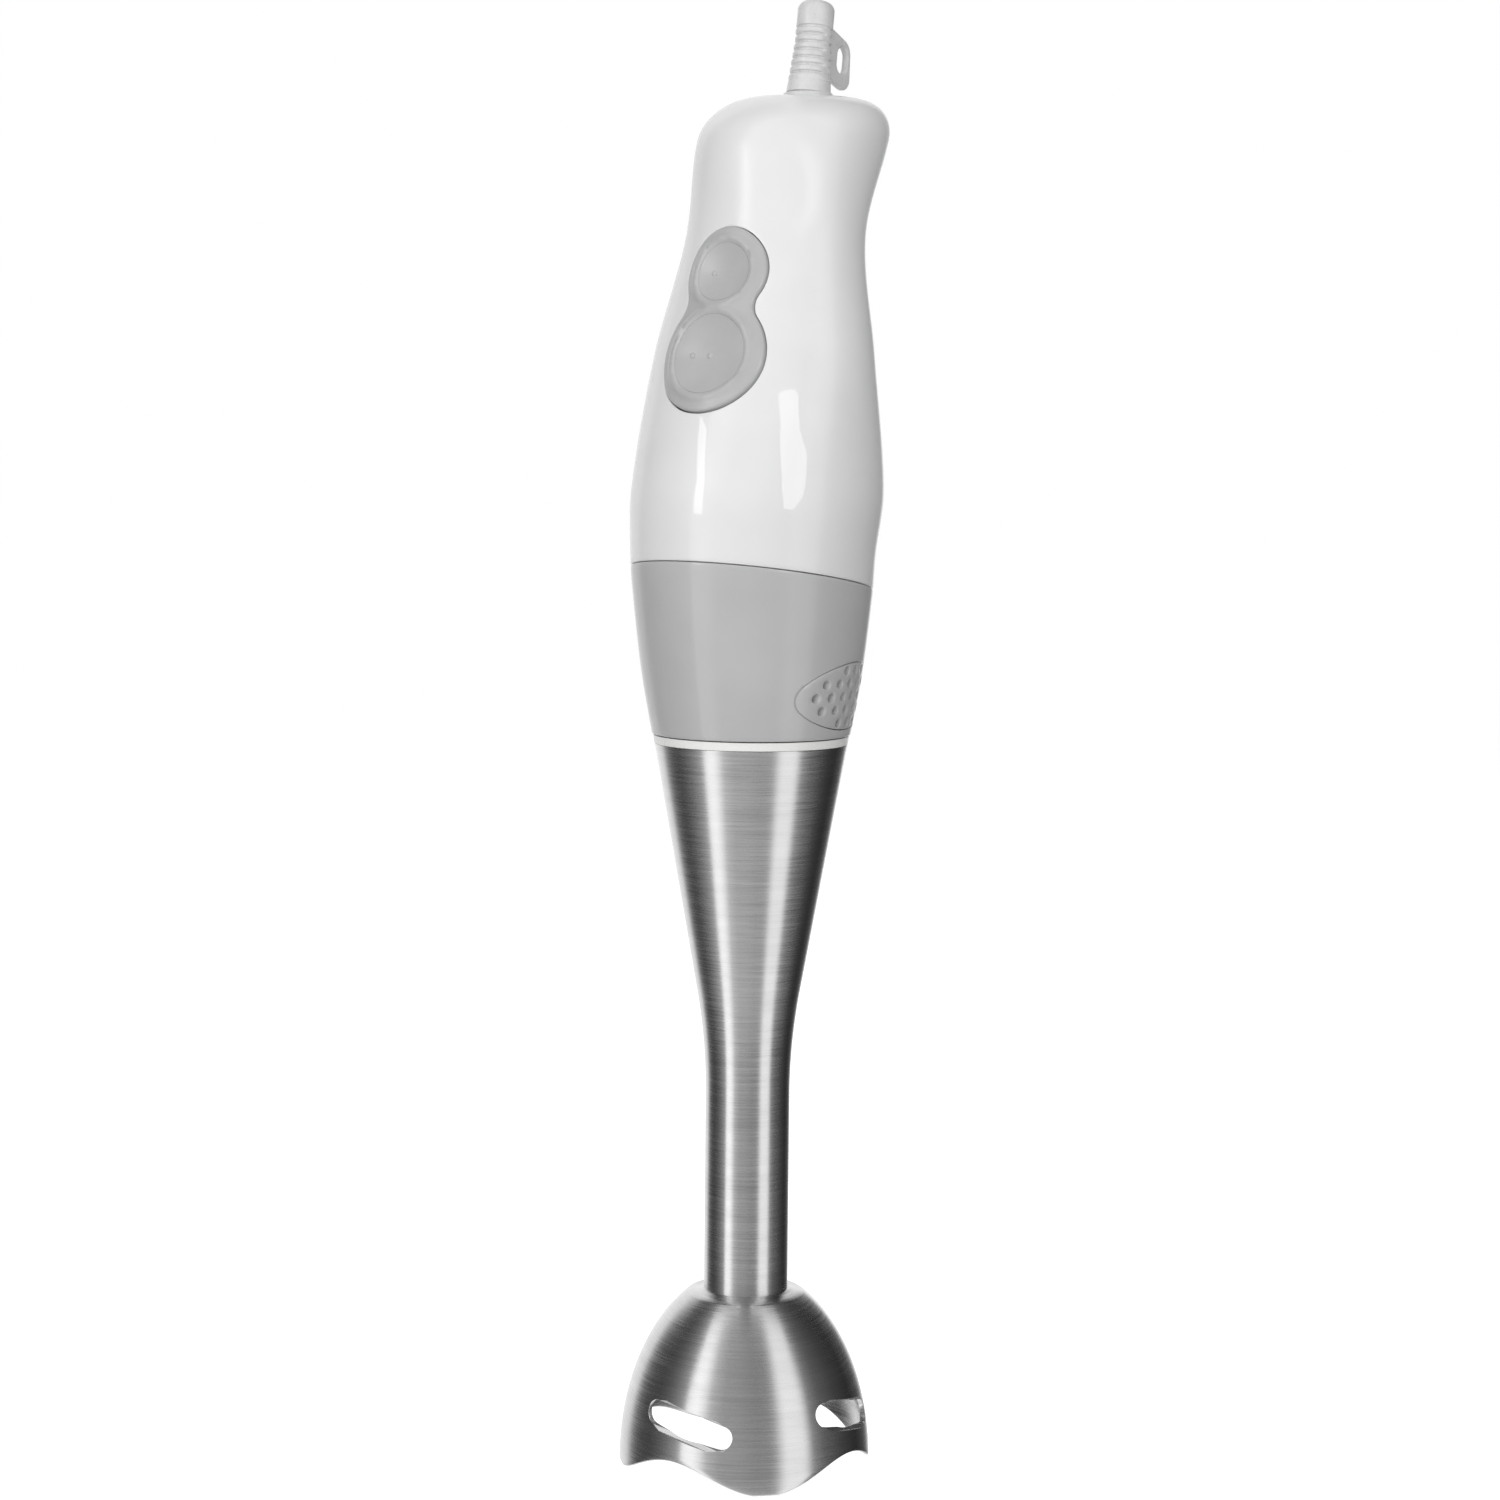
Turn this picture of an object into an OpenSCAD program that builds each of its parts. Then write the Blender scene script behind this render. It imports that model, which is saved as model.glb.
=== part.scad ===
// Immersion blender with a bent one-piece handle and a twist-off steel leg.
// Millimetres, +Z up. The origin is on the drive shaft's axis, in the plane
// of the bell's four feet. The buttons face -Y, the cord leaves at +Y.
// A name that ends in _z is a height above the feet, one that ends in _up is
// a height above the joint between the leg and the motor unit.

/* [Handle] */
// Height of the motor unit, from its joint with the leg to the handle's top
handle_h = 163.3; // [155:0.1:200]
// Radius of the handle at its belly
belly_r = 32.5; // [31:0.5:40]
// Height of the belly's widest section
belly_up = 63.3; // [58:0.1:70]
// How far the belly leans back from the shaft's axis
belly_offset = 1.8; // [0:0.1:3]
// Half width of the handle behind the lower button
palm_half_w = 30; // [28:0.5:34]
// Half depth of the handle behind the lower button
palm_half_d = 24.5; // [23:0.5:30]
// Height of that section
palm_up = 97.3; // [94:0.1:102]
// How far that section leans back
palm_offset = 4; // [3:0.1:6]
// Half width of the waist
waist_half_w = 24.4; // [23:0.2:29]
// Half depth of the waist
waist_half_d = 20.2; // [19:0.2:25]
// Height of the waist
waist_up = 127.3; // [124:0.1:130]
// How far the waist leans back
waist_offset = 8.6; // [6:0.2:11]
// Half width and half depth of the crown under the top edge
crown_half = 24.6; // [23:0.2:30]
// Height of the crown's section
crown_up = 150.3; // [145:0.1:154]
// How far the crown leans back
crown_offset = 15.4; // [12:0.2:18]
// How far the top leans back
top_offset = 21.7; // [18:0.2:25]
// Radius of the rounding between the top and the sides
top_edge_r = 11; // [8:0.5:13]
// Rise of the top's middle over its edge
top_crown = 0.6; // [0:0.1:2]
// Wall thickness of the housing and the collar
wall = 2.4; // [1.8:0.1:3]

/* [Collar] */
// Radius of the collar at its lower edge
collar_r = 25.7; // [25:0.1:31]
// Radius of the collar at its upper edge
collar_top_r = 31.6; // [31:0.1:38]
// Height of the seam between collar and housing, on the axis
seam_up = 40.3; // [38:0.1:44]
// Slant of that seam, high at the front
seam_tilt = 8.9; // [0:0.1:12]
// Width of the seam
seam_gap = 0.2; // [0.1:0.05:0.5]
// Height of the lip that reaches up into the housing
lip_h = 5; // [3:0.5:8]
// Direction of each vent from the front
vent_angle = 102; // [90:1:110]
// Height of the vents' centres
vent_up = 10.8; // [10:0.1:13]
// Width of a vent along the collar
vent_w = 38; // [28:1:42]
// Height of a vent
vent_h = 17.4; // [12:0.2:18]
// Diameter of a vent hole
vent_hole_d = 2.2; // [1.6:0.1:2.6]
// Spacing of the vent holes along a row
vent_hole_pitch = 4.73; // [3.8:0.01:6]
// Spacing of the rows of vent holes
vent_row_pitch = 3.354; // [3:0.001:4]

/* [Button pad] */
// Radius of the pad round the upper button
pad_upper_r = 11.9; // [11:0.1:13]
// Radius of the pad round the lower button
pad_lower_r = 15.2; // [14:0.1:17]
// Radius of the fillets at the pad's waist
pad_fillet_r = 6; // [3:0.5:9]
// Height of the upper button's centre
upper_button_up = 117.3; // [114:0.1:121]
// Height of the lower button's centre
lower_button_up = 96.7; // [94:0.1:98]
// Radius of the upper button
upper_button_r = 7.6; // [6.5:0.1:8.4]
// Radius of the lower button
lower_button_r = 10.4; // [9:0.1:11.2]
// How far the pad stands proud of the housing
pad_proud = 0.7; // [0.3:0.1:1.2]
// Depth of the dish in each button
dish_depth = 1.5; // [0.6:0.1:2]
// Travel of each button
button_travel = 1.8; // [1:0.1:2]

/* [Strain relief] */
// Angle at which the strain relief leans back
relief_lean = 8.4; // [0:0.2:15]
// Length of the strain relief outside the housing
relief_len = 25.4; // [22:0.2:40]
// Radius at its base
relief_base_r = 6.4; // [5.8:0.1:7]
// Radius of its lowest rib
relief_rib_r = 5.5; // [5.2:0.1:5.8]
// Radius of its tip
relief_tip_r = 4.8; // [4.6:0.1:5]
// Radius of the bore for the cord
cord_bore_r = 3.2; // [2.8:0.1:3.4]
// Width of the opening in the hanging loop
loop_gap = 4.4; // [3.6:0.1:5]
// Height of that opening
loop_opening_h = 6.7; // [5.4:0.1:7.4]
// Thickness of the loop outside its opening
loop_t = 1.8; // [1.4:0.1:2.4]
// Thickness of the plate that the loop is cut from
loop_w = 2; // [1.6:0.1:3]

/* [Leg] */
// Height of the steel leg's upper edge
leg_top_z = 189.3; // [155:0.1:240]
// Radius of the leg at its upper edge
leg_top_r = 25; // [24.5:0.1:30]
// Radius of the straight tube
tube_r = 11; // [10.8:0.1:13]
// Angle of the cone's side from the axis
cone_angle = 10.15; // [9.6:0.05:10.6]
// Radius of the long curve between cone and tube
cone_blend_r = 154; // [80:1:180]
// Wall of the steel tube
tube_t = 0.6; // [0.5:0.1:0.8]
// Height of the plastic ring on top of the leg
ring_h = 2.1; // [1.5:0.1:3]
// Gap between that ring and the motor unit
ring_gap = 0.3; // [0.2:0.05:0.6]
// Radius of the boss that the leg screws on to
boss_r = 19; // [18:0.1:20]
// Length of the boss
boss_h = 19.8; // [18:0.1:22]
// Height through which a quarter turn lowers the leg
twist_drop = 7.5; // [6:0.1:8]

/* [Bell] */
// Radius of the bell at its rim
bell_r = 32.9; // [30:0.1:40]
// Height of the weld between bell and tube
bell_top_z = 45.8; // [44:0.1:50]
// Height of the ellipse that the bell's side follows
bell_curve_h = 50.4; // [50:0.1:56]
// Wall of the bell
bell_t = 1.3; // [1:0.1:1.8]
// Height of the scallops between the feet
scallop_h = 6.8; // [4:0.1:8]
// Length of a side slot between its end centres
slot_len = 19.4; // [14:0.2:20]
// Height of a side slot
slot_h = 6; // [4.5:0.1:6.5]
// Slant of a side slot
slot_tilt = 11; // [0:0.5:14]
// Height of the side slots' centres
slot_z = 16.2; // [15:0.1:18]
// Angle from the front to the first slot's centre
slot_angle = 6; // [0:0.5:8]

/* [Blade] */
// Radius of the blade's sweep
blade_r = 24; // [18:0.5:26]
// Width of a blade wing at its root
blade_w = 10; // [8:0.5:12]
// Thickness of the blade
blade_t = 1.4; // [1:0.1:2]
// Height of the blade
blade_z = 17; // [16:0.5:20]
// Pitch of the blade's wings
blade_pitch = 9; // [0:1:14]
// Radius of the drive shaft
shaft_r = 3; // [2.6:0.1:3.2]

/* [Motor] */
// Width of the stator across its flats
stator_w = 46; // [42:0.5:47]
// Height of the stator's lower face
stator_up = 26.3; // [25.3:0.1:28.3]
// Height of the lamination stack
stack_h = 24; // [18:1:24]
// Radius of the armature
armature_r = 12.2; // [10:0.1:12.6]
// Air gap between armature and stator
air_gap = 0.5; // [0.4:0.1:1]
// Radius of the motor shaft
motor_shaft_r = 2.5; // [2:0.1:3]
// Radius of the commutator
commutator_r = 8; // [7:0.1:8.6]
// Radius of the cooling fan
fan_r = 18.8; // [14:0.2:19]
// Blades on the cooling fan
fan_blades = 9; // [7:1:13]
// Radius from the axis to the two long motor screws
motor_screw_at = 22.2; // [22:0.1:23]

/* [Clearances] */
// Running clearance of a shaft in a bush, on the radius
bush_clear = 0.04; // [0.02:0.01:0.08]
// Gap round each button
button_clear = 0.3; // [0.25:0.05:0.5]
// Gap round a piece that is pressed or snapped in
fit_clear = 0.1; // [0.05:0.05:0.2]
// Gap between the boss and the leg's coupler, on the radius
boss_clear = 0.4; // [0.3:0.05:0.6]
// Gap round the teeth of the drive coupling
dog_clear = 0.3; // [0.25:0.05:0.5]

/* [Hidden] */

$fn = 64;
// Overlap that joins two solids, and how far a cutter runs past what it cuts
eps = 0.01;
cut = 1;

// Heights above the feet that follow from the sizes above
ring_top_z = leg_top_z + ring_h;
collar_z = ring_top_z + ring_gap;
seam_z = collar_z + seam_up;
belly_z = collar_z + belly_up;
palm_z = collar_z + palm_up;
waist_z = collar_z + waist_up;
crown_z = collar_z + crown_up;
handle_top_z = collar_z + handle_h;
vent_z = collar_z + vent_up;
lower_button_z = collar_z + lower_button_up;
upper_button_z = collar_z + upper_button_up;

/* Shape of the handle and the collar */

// How much of the collar's swell is reached at two heights between the joint
// and the seam, and how far over the seam it ends
low_share_h = 0.4;
low_share = 0.485;
high_share_h = 0.91;
high_share = 0.89;
swell_over = 6;
function swell_r(share) = collar_r + share * (collar_top_r - collar_r);
function swell_z(share) = collar_z + share * seam_up;

// Sections from the joint to the top:
// height, offset to the back, half width, half depth
SECTIONS = [
    [collar_z, 0, collar_r, collar_r],
    [swell_z(low_share_h), 0, swell_r(low_share), swell_r(low_share)],
    [swell_z(high_share_h), 0, swell_r(high_share), swell_r(high_share)],
    [seam_z + swell_over, 0, collar_top_r, collar_top_r],
    [belly_z, belly_offset, belly_r, belly_r],
    [palm_z, palm_offset, palm_half_w, palm_half_d],
    [waist_z, waist_offset, waist_half_w, waist_half_d],
    [crown_z, crown_offset, crown_half, crown_half],
    [handle_top_z + 1, top_offset, crown_half, crown_half]];

// Smooth curve through column k of the sections
function section_at(z, i = 0) =
    i >= len(SECTIONS) - 2 || z < SECTIONS[i + 1][0] ? i : section_at(z, i + 1);
function rise(i, j, k) = (SECTIONS[j][k] - SECTIONS[i][k]) / (SECTIONS[j][0] - SECTIONS[i][0]);
function slope(i, k) = rise(max(i - 1, 0), min(i + 1, len(SECTIONS) - 1), k);
function curve(z, k) =
    let (i = section_at(z),
         a = SECTIONS[i],
         b = SECTIONS[i + 1],
         h = b[0] - a[0],
         t = (z - a[0]) / h)
    a[k] * (2 * t^3 - 3 * t^2 + 1) + slope(i, k) * h * (t^3 - 2 * t^2 + t)
    + b[k] * (3 * t^2 - 2 * t^3) + slope(i + 1, k) * h * (t^3 - t^2);
function offset_y(z) = curve(z, 1);
function half_w(z) = curve(z, 2);
function half_d(z) = curve(z, 3);
function front_y(z) = offset_y(z) - half_d(z);

// Closed skin over a list of rings that all have as many points
module skin(rings) {
    n = len(rings[0]);
    m = len(rings);
    function middle(ring) = [for (k = [0:2]) [for (p = ring) p[k]] * [for (p = ring) 1] / n];
    points = concat([for (ring = rings) each ring], [middle(rings[0]), middle(rings[m - 1])]);
    polyhedron(points, concat(
        [for (j = [0:m - 2], i = [0:n - 1]) let (k = (i + 1) % n)
            each [[j * n + i, j * n + n + i, j * n + k], [j * n + k, j * n + n + i, j * n + n + k]]],
        [for (i = [0:n - 1]) [m * n, i, (i + 1) % n]],
        [for (i = [0:n - 1]) [m * n + 1, (m - 1) * n + (i + 1) % n, (m - 1) * n + i]]),
        convexity = 6);
}
function handle_ring(z, grow, from, step, n) = [for (i = [0:n - 1])
    let (a = from + i * step)
    [(half_w(z) + grow) * sin(a), offset_y(z) - (half_d(z) + grow) * cos(a), z]];

// The whole handle above a height, grown or shrunk, with its rounded top
module handle_solid(grow, from_z, n, levels) {
    side_top = handle_top_z - top_edge_r;
    arc_r = top_edge_r + grow;
    arcs = 7;
    crown_r = (crown_half - top_edge_r) / 2;
    skin(concat(
        [for (j = [0:levels - 1]) let (z = from_z + j * (side_top - from_z) / levels)
            handle_ring(z, grow, 0, 360 / n, n)],
        [for (j = [0:arcs]) let (a = 90 * j / arcs)
            handle_ring(side_top + arc_r * sin(a), arc_r * cos(a) - top_edge_r, 0, 360 / n, n)],
        [handle_ring(handle_top_z + grow + top_crown, crown_r - crown_half, 0, 360 / n, n)]));
}
outside_sides = 60;
outside_levels = 22;
inside_sides = 44;
inside_levels = 14;

// The front of the handle between two heights, for pieces set into it
module front_patch(grow, low, high) {
    levels = 14;
    step = 6;
    from = -84;
    n = -2 * from / step + 1;
    skin([for (j = [0:levels]) handle_ring(low + j * (high - low) / levels, grow, from, step, n)]);
}

// Everything above or below the slanted seam, moved up by a shift
seam_slope = tan(seam_tilt);
seam_low_z = seam_z - collar_top_r * seam_slope;
block_half = 60;
block_h = 80;
module at_seam(shift) {
    translate([0, 0, seam_z + shift]) rotate([-seam_tilt, 0, 0]) children();
}
module above_seam(shift) {
    at_seam(shift) translate([-block_half, -block_half, 0]) cube([2 * block_half, 2 * block_half, block_h]);
}
module below_seam(shift) {
    at_seam(shift) translate([-block_half, -block_half, -block_h])
        cube([2 * block_half, 2 * block_half, block_h]);
}

// The collar's outline as chords a few millimetres long, so that every wall
// and piece inside it follows the same surfaces
collar_steps = 14;
collar_end_z = seam_z + collar_top_r * seam_slope + lip_h + 4;
COLLAR = [for (i = [0:collar_steps])
    let (z = collar_z + i * (collar_end_z - collar_z) / collar_steps) [z, half_w(z)]];
function collar_at(z) = lookup(z, COLLAR);
// Band between two offsets from the collar's outline, from one height to another
module collar_band(outer, inner, low, high) {
    chords = [for (p = COLLAR) if (p[0] > low + eps && p[0] < high - eps) p[0]];
    heights = concat([low], chords, [high]);
    n = len(heights) - 1;
    rotate_extrude() polygon(concat(
        [for (z = heights) [collar_at(z) + outer, z]],
        [for (i = [n:-1:0]) [max(0, collar_at(heights[i]) + inner), heights[i]]]));
}

/* Layout of the buttons, seen square to the pad: x across, y up the pad */

pad_z = (upper_button_z + lower_button_z) / 2;
pad_y = (front_y(upper_button_z) + front_y(lower_button_z)) / 2;
pad_rise = upper_button_z - lower_button_z;
pad_tilt = atan((front_y(upper_button_z) - front_y(lower_button_z)) / pad_rise);
button_at = pad_rise / 2 / cos(pad_tilt);
module in_pad() {
    translate([0, pad_y, pad_z]) rotate([90 - pad_tilt, 0, 0]) children();
}

// How far the pad reaches behind the housing's wall, and past its hole there
pad_back = 1.3;
pad_lip = 1.5;

// Depths behind the pad's middle
flange_at = wall + pad_back + 2.3;
flange_t = 1.2;
flange_w = 1.2;
flange_back = flange_at + flange_t;
post_end = flange_back + 0.8;
plunger_len = 4.8;
plunger_r = 1.7;
switch_top = post_end + button_travel + 0.5;
switch_h = 5.9;
switch_w = 12.4;
board_at = switch_top + switch_h;
board_t = 1.6;
board_back = board_at + board_t;
board_half_w = 15;
board_low = -17.5;
board_high = 22;

// Outline of the pad: two circles joined by a concave fillet on each side
module pad_outline(grow) {
    upper_r = pad_upper_r + grow;
    lower_r = pad_lower_r + grow;
    fillet = pad_fillet_r - grow;
    pitch = 2 * button_at;
    reach_low = lower_r + fillet;
    reach_high = upper_r + fillet;
    along = (pitch^2 + reach_low^2 - reach_high^2) / (2 * pitch);
    side = sqrt(reach_low^2 - along^2);
    low_turn = atan2(along, side);
    high_turn = atan2(pitch - along, side);
    steps = 12;
    right = concat(
        [for (i = [0:2 * steps]) let (a = -90 + i * (90 + low_turn) / (2 * steps))
            [lower_r * cos(a), lower_r * sin(a) - button_at]],
        [for (i = [1:steps - 1]) let (a = 180 + low_turn - i * (low_turn + high_turn) / steps)
            [side + fillet * cos(a), along - button_at + fillet * sin(a)]],
        [for (i = [0:2 * steps]) let (a = -high_turn + i * (90 + high_turn) / (2 * steps))
            [upper_r * cos(a), upper_r * sin(a) + button_at]]);
    polygon(concat(right, [for (i = [len(right) - 2:-1:1]) [-right[i][0], right[i][1]]]));
}
module pad_prism(grow) {
    in_pad() translate([0, 0, -20]) linear_extrude(32) pad_outline(grow);
}

/* Housing */

// Ribs inside the housing bite this far into its wall
rib_bite = 0.4;
// Rails on both sides of the switch board
rail_w = 16;
rail_lip = 2;
rail_grip = 1;
// Damper round the motor's upper bearing, and the rib that centres it
bearing_r = 6.5;
bearing_h = 6;
cup_t = 1.6;
cup_r = bearing_r + cup_t;
damper_wall = 2.2;
upper_damper_r = cup_r + damper_wall;
rib_t = 2.5;
// Where the motor's leads run through that rib
lead_at = [18, 2];
lead_r = 0.9;
lead_hole_r = 3.5;
// Clamp that holds the cord
clamp_z = crown_z - 6;
clamp_y = offset_y(clamp_z) + 3;
clamp_at = 7.8;
clamp_screw_r = 1.3;
clamp_screw_len = 11;
clamp_half_h = 3.4;
clamp_t = 2.6;
clamp_post_r = 3;
saddle_gap = 5.6;
// Height of the strain relief's axis over the housing's inside
relief_y = top_offset + 1.2;
relief_neck_r = relief_base_r - 1.4;
module in_relief() {
    translate([0, relief_y, handle_top_z + top_crown]) rotate([-relief_lean, 0, 0]) children();
}

module board_rails() {
    h = board_t + 2 * rail_lip;
    for (side = [-1, 1]) in_pad() difference() {
        translate([side * (board_half_w - rail_grip + rail_w / 2) - rail_w / 2, board_low,
                -board_back - rail_lip])
            cube([rail_w, board_high - board_low - 4, h]);
        translate([-board_half_w - fit_clear, board_low - cut, -board_back - fit_clear])
            cube([2 * board_half_w + 2 * fit_clear, 60, board_t + 2 * fit_clear]);
    }
}
module damper_rib() {
    translate([0, 0, mount_rib_z - 3]) difference() {
        cylinder(r = 40, h = rib_t);
        translate([0, 0, -cut]) cylinder(r = upper_damper_r + fit_clear, h = rib_t + 2 * cut);
        for (side = [-1, 1]) translate([side * lead_at[0], lead_at[1], -cut])
            cylinder(r = lead_hole_r, h = rib_t + 2 * cut);
    }
}
module clamp_posts() {
    for (side = [-1, 1]) translate([side * clamp_at, clamp_y, clamp_z]) rotate([-90, 0, 0]) difference() {
        cylinder(r = clamp_post_r, h = 30);
        translate([0, 0, -cut]) cylinder(r = clamp_screw_r + fit_clear, h = clamp_screw_len);
    }
    translate([-clamp_half_h, clamp_y + saddle_gap, clamp_z - clamp_post_r])
        cube([2 * clamp_half_h, 30, 2 * clamp_post_r]);
}
module upper_housing() {
    low_z = seam_low_z - 2;
    color("white") difference() {
        union() {
            difference() {
                handle_solid(0, low_z, outside_sides, outside_levels);
                handle_solid(-wall, low_z - cut, inside_sides, inside_levels);
            }
            intersection() {
                handle_solid(rib_bite - wall, low_z, inside_sides, inside_levels);
                union() {
                    board_rails();
                    damper_rib();
                    clamp_posts();
                }
            }
        }
        below_seam(0);
        pad_prism(fit_clear);
        in_relief() translate([0, 0, -20]) cylinder(r = relief_neck_r + fit_clear, h = 30);
    }
}

/* Collar */

rebate_h = 2;
rebate_t = 1.5;
lip_t = 1.6;
lip_clear = 0.4;
lip_low_z = seam_low_z - lip_h - 2;
// Fan chamber under a ledge that carries the motor
fan_room = 10.3;
ledge_z = collar_z + fan_room;
ledge_t = 1.5;
ledge_r = fan_r + 2.4;
// Screws that hold the leg's boss, turned from the right
boss_screw_angles = [90, 210, 330];
boss_screw_r = 1.3;
boss_screw_at = fan_r + 3;
boss_post_r = 2.2;
module at_boss_screws() {
    for (a = boss_screw_angles) rotate([0, 0, a]) translate([boss_screw_at, 0, collar_z]) children();
}

module collar_lip() {
    difference() {
        union() {
            difference() {
                collar_band(-wall + 0.5, -wall - lip_t, lip_low_z, collar_end_z);
                above_seam(-seam_gap);
            }
            collar_band(-wall - lip_clear, -wall - lip_t, lip_low_z, collar_end_z);
        }
        above_seam(lip_h);
        below_seam(-lip_h);
    }
}
module lower_collar() {
    color("silver") difference() {
        union() {
            difference() {
                collar_band(0, -wall, collar_z + rebate_h, collar_end_z);
                above_seam(-seam_gap);
            }
            collar_band(0, -rebate_t, collar_z, collar_z + rebate_h);
            collar_lip();
            collar_band(-wall + 0.5, ledge_r - collar_at(ledge_z), ledge_z, ledge_z + ledge_t);
            at_boss_screws() translate([0, 0, rebate_h])
                cylinder(r = boss_post_r, h = fan_room - rebate_h + 0.5);
        }
        at_boss_screws() cylinder(r = boss_screw_r + fit_clear, h = fan_room - 0.9);
        for (side = [-1, 1]) vent_prism(side, 0);
    }
}

// Oval vents: elliptical prisms that point out of the collar's sides
module vent_oval(grow) {
    steps = 40;
    polygon([for (i = [0:steps - 1]) let (a = 360 * i / steps)
        [(vent_w / 2 + grow) * cos(a), (vent_h / 2 + grow) * sin(a)]]);
}
module at_vent(side) {
    rotate([0, 0, side * vent_angle]) translate([0, 0, vent_z]) rotate([90, 0, 0]) children();
}
module vent_prism(side, grow) {
    at_vent(side) translate([0, 0, 12]) linear_extrude(30) vent_oval(grow);
}
// Plain border of a grille at its ends, and above and below its holes
vent_border_w = 2.6;
vent_border_h = 1.6;
module vent_grille(side) {
    rows = 2;
    cols = 4;
    color("silver") difference() {
        intersection() {
            collar_band(0, -wall, vent_z - vent_h / 2 - cut, vent_z + vent_h / 2 + cut);
            vent_prism(side, -fit_clear);
        }
        at_vent(side) for (row = [-rows:rows], col = [-cols:cols]) {
            x = (col + (row % 2 == 0 ? 0 : 0.5)) * vent_hole_pitch;
            y = row * vent_row_pitch;
            if ((x / (vent_w / 2 - vent_border_w))^2 + (y / (vent_h / 2 - vent_border_h))^2 < 1)
                translate([x, y, 10]) cylinder(d = vent_hole_d, h = 30);
        }
    }
}
module left_vent_grille() { vent_grille(-1); }
module right_vent_grille() { vent_grille(1); }

/* Buttons and switches */

module button_pad() {
    low = lower_button_z - pad_lower_r - 6;
    high = upper_button_z + pad_upper_r + 6;
    color("darkgray") difference() {
        union() {
            intersection() {
                difference() {
                    front_patch(pad_proud, low, high);
                    front_patch(-wall - pad_back, low - cut, high + cut);
                }
                pad_prism(0);
            }
            intersection() {
                difference() {
                    front_patch(-wall - fit_clear, low, high);
                    front_patch(-wall - pad_back, low - cut, high + cut);
                }
                pad_prism(pad_lip);
            }
        }
        in_pad() translate([0, button_at, -20]) cylinder(r = upper_button_r + button_clear, h = 40);
        in_pad() translate([0, -button_at, -20]) cylinder(r = lower_button_r + button_clear, h = 40);
    }
}
// Dished cap with a flange behind the pad and a post over the switch
cap_t = 1.6;
post_r = 2.2;
bead_r = 0.6;
module button(at, r, bead_xs) {
    dish_r = (0.7 * r^2 + dish_depth^2) / (2 * dish_depth);
    low = pad_z - 30;
    hollow_h = flange_t + 2.6;
    difference() {
        intersection() {
            front_patch(pad_proud - 0.1, low, low + 60);
            in_pad() translate([0, at, -flange_back]) cylinder(r = r, h = 20);
        }
        in_pad() translate([0, at, dish_r - dish_depth + 0.3]) rotate([90, 0, 0]) sphere(r = dish_r);
        in_pad() translate([0, at, -flange_back - cut]) cylinder(r = r - cap_t, h = hollow_h);
    }
    in_pad() translate([0, at, -flange_back]) difference() {
        cylinder(r = r + flange_w, h = flange_t);
        translate([0, 0, -cut]) cylinder(r = r - cap_t, h = flange_t + 2 * cut);
    }
    in_pad() translate([0, at, -post_end]) cylinder(r = post_r, h = post_end - flange_at + 2.4);
    in_pad() for (x = bead_xs) translate([x, at, -dish_depth - 0.5]) cylinder(r = bead_r, h = 2 * bead_r);
}
module low_speed_button() {
    color("darkgray") button(button_at, upper_button_r, [0]);
}
module high_speed_button() {
    color("darkgray") button(-button_at, lower_button_r, [-2.6, 2.6]);
}
module plunger(at) {
    in_pad() translate([0, at, -post_end - plunger_len]) cylinder(r = plunger_r, h = plunger_len);
}
module low_speed_plunger() { color("ivory") plunger(button_at); }
module high_speed_plunger() { color("ivory") plunger(-button_at); }
module switch(at) {
    spare = 0.4;
    well = board_at - post_end - plunger_len - button_travel - spare;
    in_pad() translate([0, at, -board_at]) difference() {
        translate([-switch_w / 2, -switch_w / 2, 0]) cube([switch_w, switch_w, switch_h]);
        translate([0, 0, well]) cylinder(r = plunger_r + 0.35, h = 20);
    }
}
module low_speed_switch() { color("dimgray") switch(button_at); }
module high_speed_switch() { color("dimgray") switch(-button_at); }
module switch_board() {
    hole_r = 1.5;
    color("tan") in_pad() difference() {
        translate([-board_half_w, board_low, -board_back])
            cube([2 * board_half_w, board_high - board_low, board_t]);
        translate([0, 0, -board_back - cut]) cylinder(r = hole_r, h = board_t + 2 * cut);
    }
}
module suppression_capacitor() {
    size = [17, 14, 9];
    color("gold") in_pad() translate([-size[0] / 2, 3, -board_back - size[2]]) cube(size);
}
module speed_diode() {
    r = 1.6;
    len = 7;
    lead = 4;
    at = [0, -9, -board_back - r - 0.1];
    in_pad() translate(at) rotate([0, 90, 0]) {
        color("black") cylinder(r = r, h = len, center = true);
        color("silver") for (side = [-1, 1]) translate([0, 0, side * (len + lead) / 2])
            cylinder(r = 0.4, h = lead + 2 * eps, center = true);
    }
}

/* Strain relief and cord clamp */

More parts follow.
